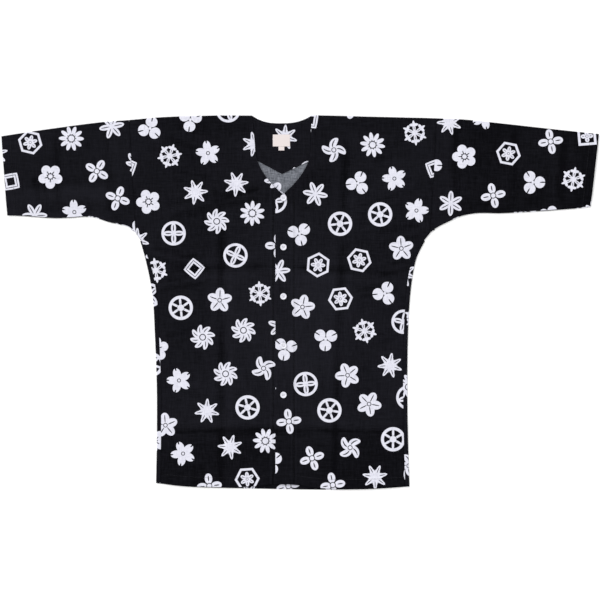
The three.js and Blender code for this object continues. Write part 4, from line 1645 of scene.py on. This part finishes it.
    def ring(self, share: np.ndarray, radius: float) -> np.ndarray:
        """Points round the tube, at a distance from the middle of its folds.

        Over the top from the lower fold to the upper one, half round it, back under and half round the
        lower fold.

        Args:
            share: Shares of the length.
            radius: The distance.

        Returns:
            A row of points for each share.
        """
        low, high, width = self.ends(share)
        width, fold = width[:, None], CLOTH.fold
        near = np.array([0, 0.8, 1.8, 3])
        across = ladder(near, near, self.about_wide, self.pitch)
        upper = fold + across[:, 0] + across[:, 1] * (width - 2 * fold)
        lower = np.concatenate([(width - upper)[:, ::3], np.full_like(width, fold)], axis=1)
        arc = np.radians(spaced(90, -90, 15)[1:-1])
        turned = radius * np.cos(arc) + np.zeros_like(width)
        distance = np.concatenate([upper, width - fold + turned, lower, fold - turned], axis=1)
        rise = radius * np.sin(arc)
        parts = [np.full(upper.shape[1], radius), rise, np.full(lower.shape[1], -radius), -rise]
        height = np.tile(fold + np.concatenate(parts), (len(share), 1))
        x, y = (low[:, k, None] + (high - low)[:, k, None] * (distance / width) for k in range(2))
        over = slice(upper.shape[1])
        from_cuff = (1 - share[:, None]) * self.length
        height[:, over] += self.relief(x[:, over], y[:, over], from_cuff, radius == fold)
        return stacked(x, y, height)

    def tube(self) -> Shell:
        """The sleeve's grid, with its cut laid out from the seam below.

        Returns:
            The shell.
        """
        band = np.concatenate([EDGE, np.arange(5, 16, self.pitch), LIE.cuff_depth + BAND_END[:3]])
        rungs = ladder(EDGE, band, self.length, self.pitch)
        share = rungs[:, 0] / self.length + rungs[:, 1]
        outer, inner = self.ring(share, CLOTH.fold), self.ring(share, CLOTH.fold - CLOTH.shell)
        flat = stacked(outer[..., 0], self.ends(share)[0][:, 1:] + along_rows(outer[..., :2]))
        # The tone, with painted light and shade in it.
        worn = LIE.worn(outer[..., 0], outer[..., 1])
        return Shell(outer, inner, self.shift, flat, closed=True, worn=worn)

    def allowance(self) -> Shell:
        """The edges inside the armhole seam, pressed towards the sleeve as a strip 9.6 mm wide.

        Returns:
            The shell.
        """
        top = float(BLOCK.top(np.array(self.side.value * BLOCK.armhole_top)))
        y = spaced(BLOCK.underarm_y + 4, top - 3, 6)[:, None]
        across = np.array([-1.6, -0.8, 0, 1.2, 4, 8])
        x = self.side.value * (BLOCK.armhole(y) + across)
        height = self.allowance_height - 0.05 * np.abs(across) / 8
        return Shell(stacked(x, y, height), stacked(x, y, height - self.allowance_thick), self.shift)

    def build(self) -> Object:
        """Make the sleeve and work out its cut's area and flat size, all round the tube.

        Returns:
            The object.
        """
        mesh = joined(self.name, [self.tube().mesh("tube"), self.allowance().mesh("allowance")])
        piece = set_down(f"{self.name}_cloth", mesh, COTTON, Slot.PRINTED_COTTON, self.name)
        width = self.ends(spaced(0, 1, 0.01))[2]
        area = 2 * float(width.mean()) * self.length * METRES**2
        flat = (round(2 * float(width.max()) * METRES, 3), round((self.length + 4) * METRES, 3))
        return piece


@dataclass(frozen=True)
class Tab:
    """A woven tab on the facing: the solid that it stands for, and its edges."""

    node: str
    x0: float
    x1: float
    y0: float
    y1: float


LABEL = Tab("label", -20.7, 14.3, 318.2, 342.3)
SIZE_TAB = Tab("size_tab", -9.1, 2.7, 310.0, 317.9)


@dataclass
class NeckFacing:
    """The facing inside the back neck, printed side up, and the bare label and size tab sewn onto it."""

    low: float = 1.3
    pitch: float = 2.4
    about_long: float = 110  # to space the grid by
    edge_roll: tuple[float, float] = (1.6, 0.35)  # how far in from the edge, and how deep
    wave: float = 0.1
    pucker: float = 0.07
    tab_thick: float = 0.4
    tab_lift: float = 0.12
    tab_curl: float = 0.25
    shift: tuple[float, float] = (1748, 365)
    cut_wide: float = 0.220  # metres
    cut_long: float = 0.122
    sewn_under: float = 2.5  # how much of a tab's length lies under what holds it

    @property
    def face(self) -> float:
        """The height of the facing's upper face."""
        return self.low + CLOTH.turned - 0.1

    def upper_edge(self, x: np.ndarray) -> np.ndarray:
        """The neck edge, 0.4 below the back's and 2 below it at the neck's ends."""
        return BLOCK.back_top(x) - 0.4 - 1.6 * smoothstep(BLOCK.neck_share(x), 0.95, 1.0)

    def build(self) -> Object:
        """Make the facing, with its edges turned under, and work out its cut's area.

        Its face is level but for a slow uneven wave, puckers beside the stitching and rolled edges.

        Returns:
            The object.
        """
        reach = LIE.facing_reach
        marks = [-reach, BLOCK.neck_right, LIE.facing_point_x, BLOCK.neck_left, reach]
        columns = rungs_through(marks, self.pitch)
        near, far = (partial(np.full_like, fill_value=end) for end in (-reach, reach))
        bounds = (LIE.facing_edge, self.upper_edge, near, far)
        x, y = plan_grid(bounds, ladder(EDGE, EDGE, self.about_long, self.pitch), columns)
        from_edge = np.minimum(y - LIE.facing_edge(x), self.upper_edge(x) - y)
        wave = self.wave * uneven_wave(x, 15, 1, y, 19) * np.sin(y / 17) * smoothstep(from_edge, 2, 16)
        pucker = self.pucker * uneven_wave(x, 1.6, 1.3, x, 11) * bell(from_edge - 2.5, 2.5)
        height = self.face + wave + pucker - rolled(from_edge, *self.edge_roll)
        shell = Shell(stacked(x, y, height), stacked(x, y, self.low), self.shift)
        piece = set_down("neck_facing_cloth", shell.mesh("facing"), COTTON, Slot.FACING_COTTON, "neck_facing")
        return (piece, plan_area(shell.outer))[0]

    def woven(self, tab: Tab) -> Object:
        """Make a bare woven tab: a thin rectangle with heat-cut edges, curling up a little at its corners.

        With u and v from -1 to 1 across it, it rises by the sixth power of u times the fourth of v, and by a
        slight wave along it that dies away at both long edges.

        Args:
            tab: Which tab.

        Returns:
            The object.
        """
        x, y = np.meshgrid(spaced(tab.x0, tab.x1, 1.2), spaced(tab.y0, tab.y1, 1.2))
        u = (x - tab.x0) / (tab.x1 - tab.x0) * 2 - 1
        v = (y - tab.y0) / (tab.y1 - tab.y0) * 2 - 1
        rise = self.tab_curl * u**6 * v**4 + 0.06 * np.sin(x / 4.1 + 1) * (1 - v**2)
        base = self.face + self.tab_lift + rise
        mesh = Shell(stacked(x, y, base + self.tab_thick), stacked(x, y, base)).mesh(tab.node)
        piece = set_down(f"{tab.node}_satin", mesh, [LABEL_SATIN] * 2, Slot.LABEL_CLOTH, tab.node)
        return piece


@dataclass
class Stitching:
    """Rows of machine stitches: each a bead drawn out along the row and sunk at both ends."""

    long: float = 2.3
    pitch: float = 3.0
    thick: float = 0.42

    def beads(self, middle: np.ndarray, run: np.ndarray, long: float) -> tuple[np.ndarray, np.ndarray]:
        """Points and faces of stitches: two ends, and a ring of six points at a quarter from each end.

        Args:
            middle: The stitches' middles, in millimetres.
            run: The unit direction of each.
            long: Their length.

        Returns:
            The points and the faces, all with three corners.
        """
        turn = np.radians(spaced(0, 300, 60))[:, None]
        side = stacked(-run[:, 1], run[:, 0], 0)[:, None]
        up = np.array([0, 0, 1.0])
        ring = (np.cos(turn) * side + np.sin(turn) * up) * self.thick / 2
        middle, end = middle[:, None], run[:, None] * long / 2
        sink = up * self.thick * 0.3
        rings = [middle - end / 2 + ring, middle + end / 2 + ring]
        points = np.concatenate([middle - end - sink, *rings, middle + end - sink], axis=1)
        k = np.arange(1, 7)
        after = k % 6 + 1
        corners = [(0, after, k), (k, after, after + 6), (k, after + 6, k + 6), (k + 6, after + 6, 13)]
        one = np.concatenate([stacked(*three) for three in corners])
        faces = one + 14 * np.arange(len(points))[:, None, None]
        return points.reshape(-1, 3), faces.reshape(-1, 3)

    def row(self, path: np.ndarray) -> tuple[np.ndarray, np.ndarray, float]:
        """Space stitches evenly along a path.

        Args:
            path: Points of the path, in millimetres.

        Returns:
            The stitches' middles, their unit directions and their length.
        """
        along = along_rows(path)
        at = np.arange(self.pitch / 2, along[-1], self.pitch)
        places = [stacked(*(np.interp(at + aside, along, k) for k in path.T)) for aside in (0, -0.5, 0.5)]
        run = places[2] - places[1]
        return places[0], run / np.linalg.norm(run, axis=1, keepdims=True), self.long

    def sew(
        self, name: str, rows: list[tuple[np.ndarray, np.ndarray, float]], finish: PlainFinish, slot: Slot
    ) -> Object:
        """Make one piece from rows of stitches.

        Args:
            name: The piece's name.
            rows: For each row its middles, its directions and its stitches' length.
            finish: The thread.
            slot: The record's slot.

        Returns:
            The object.
        """
        points, faces, count = [], [], 0
        for row in rows:
            found, corners = self.beads(*row)
            points.append(found)
            faces.append(corners + count)
            count += len(found)
        mesh = made_mesh(name, np.concatenate(points), np.concatenate(faces).tolist())
        return set_down(name, mesh, [finish], slot)


@dataclass
class Seams(Stitching):
    """The rows of stitching that show, each laid on the piece that it holds."""

    lift: float = 0.12
    front_top: float = 236  # where the row down a turned edge ends
    front_side: float = 247  # where the row along a hem ends
    facing_end: float = 96
    from_facing_edge: float = 2.6
    from_neck_edge: float = 5
    from_label_end: float = 1.6
    label_height: float = 0.62  # above the facing's face

    def on(self, piece: Front | Sleeve, x: np.ndarray, y: np.ndarray) -> tuple[np.ndarray, np.ndarray, float]:
        """A row of stitches along places on a piece."""
        return self.row(stacked(x, y, piece.height_at(x, y) + self.lift))

    def on_front(self, front: Front) -> Object:
        """Down the turned edge and along the hem of a front.

        Args:
            front: Which front.

        Returns:
            The object.
        """
        line = LIE.stitch_line(front.side)
        y = spaced(front.side.pick(-350, -360), self.front_top, 4)
        down = self.on(front, np.full(len(y), line), y)
        x = spaced(line + front.side.value * 4, front.side.value * self.front_side, 4)
        hem = self.on(front, x, BLOCK.front_hem(x) + LIE.hem_depth - 1)
        return self.sew(f"{front.name}_stitching", [down, hem], BLACK_THREAD, Slot.PRINTED_COTTON)

    def on_sleeve(self, sleeve: Sleeve) -> Object:
        """Round the upper layer of a cuff.

        Args:
            sleeve: Which sleeve.

        Returns:
            The object.
        """
        low, high, width = sleeve.ends(np.array([1 - (LIE.cuff_depth - 1) / sleeve.length]))
        x, y = (low + (high - low) * spaced(0.02, 0.98, 4 / float(width[0]))[:, None]).T
        row = self.on(sleeve, x, y)
        return self.sew(f"{sleeve.name}_stitching", [row], BLACK_THREAD, Slot.PRINTED_COTTON)

    def on_facing(self, facing: NeckFacing) -> Object:
        """Along the facing's lower edge and its neck edge.

        Args:
            facing: The facing.

        Returns:
            The object.
        """
        height = facing.face + self.lift
        x = spaced(-self.facing_end, self.facing_end, 4)
        lower = self.row(stacked(x, LIE.facing_edge(x) + self.from_facing_edge, height))
        x = spaced(BLOCK.neck_right + 4, BLOCK.neck_left - 4, 3)
        upper = self.row(stacked(x, BLOCK.back_top(x) - self.from_neck_edge, height))
        return self.sew("neck_facing_stitching", [lower, upper], BLACK_THREAD, Slot.FACING_COTTON)

    def on_label(self, facing: NeckFacing) -> Object:
        """Along both short ends of the label.

        Args:
            facing: The facing that it lies on.

        Returns:
            The object.
        """
        y = spaced(LABEL.y0 + 1.5, LABEL.y1 - 1.5, 3)
        ends = (LABEL.x0 + self.from_label_end, LABEL.x1 - self.from_label_end)
        rows = [self.row(stacked(x, y, facing.face + self.label_height)) for x in ends]
        return self.sew("label_stitching", rows, WHITE_THREAD, Slot.LABEL_CLOTH)


@dataclass
class Buttons:
    """Five four-hole buttons on the left front, each sewn through its holes over a stitched buttonhole."""

    x: float = 1.0
    first_y: float = 213
    pitch: float = 100.3
    count: int = 5
    radius: float = 6.5
    thick: float = 2.6
    turn_step: float = 7.5  # degrees
    seat: float = 0.15  # room under a button
    hole: float = 0.85
    hole_circle: float = 1.7
    strand: float = 0.45  # from strand to strand of the thread through the holes
    strand_lift: float = 0.2  # how far its middle lies above the dish
    buttonhole: float = 16
    edging_aside: float = 0.9  # from the middle of a buttonhole to that of the stitching along it
    edging_pitch: float = 0.7
    edging_long: float = 1.5
    edging_lift: float = 0.08

    # Profile of the blank, from the middle of its back round to the middle of its dish: distance from the
    # axis and height, as shares of the radius and the thickness.
    PROFILE = table(
        "out up",
        [
            (0, 0), (0.66, 0), (0.84, 0.12), (0.96, 0.34), (1, 0.58), (0.985, 0.80), (0.93, 0.94),
            (0.86, 1), (0.78, 0.98), (0.70, 0.88), (0.62, 0.78), (0.50, 0.73), (0.25, 0.72), (0, 0.72),
        ],
    )

    def turned(self) -> Mesh:
        """Turn the profile round its axis.

        Returns:
            The mesh, in metres.
        """
        turn = np.radians(np.arange(0, 360, self.turn_step))
        out = self.PROFILE["out"][1:-1, None] * self.radius
        up = self.PROFILE["up"][:, None] * self.thick
        ring = stacked(out * np.cos(turn), out * np.sin(turn), up[1:-1]).reshape(-1, 3)
        number = np.arange(len(ring)).reshape(-1, len(turn))
        after = np.roll(number, -1, axis=1)
        quads = stacked(number[:-1], after[:-1], after[1:], number[1:]).reshape(-1, 4)
        under = stacked(len(ring), after[0], number[0])
        over = stacked(number[-1], after[-1], len(ring) + 1)
        points = np.concatenate([ring, [[0, 0, 0], [0, 0, up[-1, 0]]]])
        return made_mesh("button blank", points, quads.tolist() + under.tolist() + over.tolist())

    def drills(self) -> Mesh:
        """Four upright cylinders where the holes are.

        Returns:
            The mesh, in metres.
        """
        mesh = bpy.data.meshes.new("drills")
        work = bmesh.new()
        size = {"segments": 16, "radius1": self.hole * METRES, "radius2": self.hole * METRES, "depth": 0.02}
        for angle in np.radians([45, 135, 225, 315]):
            place = np.array([np.cos(angle), np.sin(angle), 0]) * self.hole_circle * METRES
            made = bmesh.ops.create_cone(work, cap_ends=True, **size)
            bmesh.ops.translate(work, verts=made["verts"], vec=place.tolist())
        work.to_mesh(mesh)
        work.free()
        return mesh

    def blank(self) -> Mesh:
        """Drill the turned blank.

        Returns:
            The mesh, in metres.
        """
        disc, drill = placed("button blank", self.turned()), placed("drills", self.drills())
        cutter = disc.modifiers.new("holes", "BOOLEAN")
        cutter.operation, cutter.object, cutter.solver = "DIFFERENCE", drill, "EXACT"
        done = bpy.data.meshes.new_from_object(disc.evaluated_get(bpy.context.evaluated_depsgraph_get()))
        for made in (disc, drill):
            bpy.data.objects.remove(made)
        done.polygons.foreach_set("use_smooth", np.ones(len(done.polygons), bool))
        done.set_sharp_from_angle(angle=np.radians(35))
        return done

    def build(self, front: Front) -> None:
        """Set down each button, its thread and its buttonhole.

        Args:
            front: The left front, which they lie on.
        """
        blank = self.blank()
        thread, edging = [], []
        for number in range(self.count):
            y = self.first_y - number * self.pitch
            spots = y + spaced(-self.radius, self.radius, 3)
            height = float(front.height_at(np.full(len(spots), self.x), spots).max()) + self.seat
            mesh = blank.copy()
            mesh.transform(Matrix.Translation(np.array([self.x, y, height]) * METRES))
            name = f"button_{number + 1}"
            set_down(f"{name}_turned", mesh, [BUTTON_POLYESTER], Slot.BUTTON_PLASTIC, name)

            half = self.hole_circle * np.sin(np.radians(45))
            across = np.array([-half, half, self.strand - half, half - self.strand])
            dish = height + self.thick * self.PROFILE["up"][-1]
            bars = stacked(self.x + across, y, dish + self.strand_lift)
            thread.append((bars, np.tile([0.0, 1.0, 0.0], (4, 1)), 2 * half + 1.3))

            along = y + spaced(-self.buttonhole / 2, self.buttonhole / 2, self.edging_pitch)
            for offset in (-self.edging_aside, self.edging_aside):
                places = np.full(len(along), self.x + offset)
                spots = stacked(places, along, front.height_at(places, along) + self.edging_lift)
                edging.append((spots, np.tile([1.0, 0.0, 0.0], (len(along), 1)), self.edging_long))
        bpy.data.meshes.remove(blank)
        stitching = Stitching()
        stitching.sew("button_thread", thread, WHITE_THREAD, Slot.BUTTON_PLASTIC)
        stitching.sew("buttonhole_stitching", edging, BLACK_THREAD, Slot.PRINTED_COTTON)


@dataclass
class Studio:
    """A white surface, soft light from the upper left and a camera straight above."""

    centre_x: float = 34.7
    centre_y: float = 5.1
    distance: float = 3000
    seen: float = 1224  # millimetres across the frame
    half_surface: float = 40000
    below: float = 0.3  # how far the surface lies below the shirt
    surface_white: str = "#fbfbfb"
    soft_light: float = 0.92
    window_light: float = 2.0
    window_spread: float = 28  # degrees
    window_tilt: float = -57
    window_turn: float = 40

    def surface(self) -> None:
        half, low = self.half_surface, -self.below
        points = np.array([(-half, -half, low), (half, -half, low), (half, half, low), (-half, half, low)])
        mesh = made_mesh("surface", points, [[0, 1, 2, 3]])
        material = new_material("white paper surface")
        values = {"Base Color": linear(self.surface_white), "Roughness": 0.9, "Specular IOR Level": 0.1}
        shader = add_node(material.node_tree, "ShaderNodeBsdfPrincipled", {}, values)
        add_node(material.node_tree, "ShaderNodeOutputMaterial", {}, {0: shader.outputs[0]})
        mesh.materials.append(material)
        placed("surface", mesh)

    def lights(self) -> None:
        """Set up the soft light all round and the window."""
        world = bpy.data.worlds.new("soft light")
        bpy.context.scene.world = world
        world.use_nodes = True
        background = world.node_tree.nodes["Background"]
        background.inputs["Color"].default_value = linear("#ffffff")
        background.inputs["Strength"].default_value = self.soft_light
        sun = bpy.data.lights.new("window", "SUN")
        sun.energy = self.window_light
        sun.angle = np.radians(self.window_spread)
        tilt, turn = np.radians([self.window_tilt, self.window_turn])
        placed("window", sun).rotation_euler = (tilt, 0, turn)

    def build(self) -> None:
        """Set up the surface, the lights and the camera."""
        scene = bpy.context.scene
        scene.view_settings.view_transform = "Standard"
        self.surface()
        self.lights()
        camera = bpy.data.cameras.new("camera")
        camera.sensor_width = 36
        camera.lens = camera.sensor_width * self.distance / self.seen
        camera.clip_end = 50
        scene.camera = placed("camera", camera)
        scene.camera.location = np.array([self.centre_x, self.centre_y, self.distance]) * METRES


def main() -> None:
    """Build the studio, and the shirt's pieces in the order of sewing."""
    logging.basicConfig(level=logging.INFO, format="%(message)s")
    Studio().build()
    Back().build()
    fronts = [Front(Side.RIGHT, (2380, 640)), Front(Side.LEFT, (2960, 655))]
    sleeves = [Sleeve(Side.RIGHT, (4020, 120)), Sleeve(Side.LEFT, (4010, 790))]
    for piece in (*fronts, *sleeves):
        piece.build()
    facing = NeckFacing()
    facing.build()
    for tab in (LABEL, SIZE_TAB):
        facing.woven(tab)
    seams = Seams()
    for front in fronts:
        seams.on_front(front)
    for sleeve in sleeves:
        seams.on_sleeve(sleeve)
    seams.on_facing(facing)
    Seams(long=1.7, pitch=2.2).on_label(facing)
    Buttons().build(fronts[1])


if __name__ == "__main__":
    main()
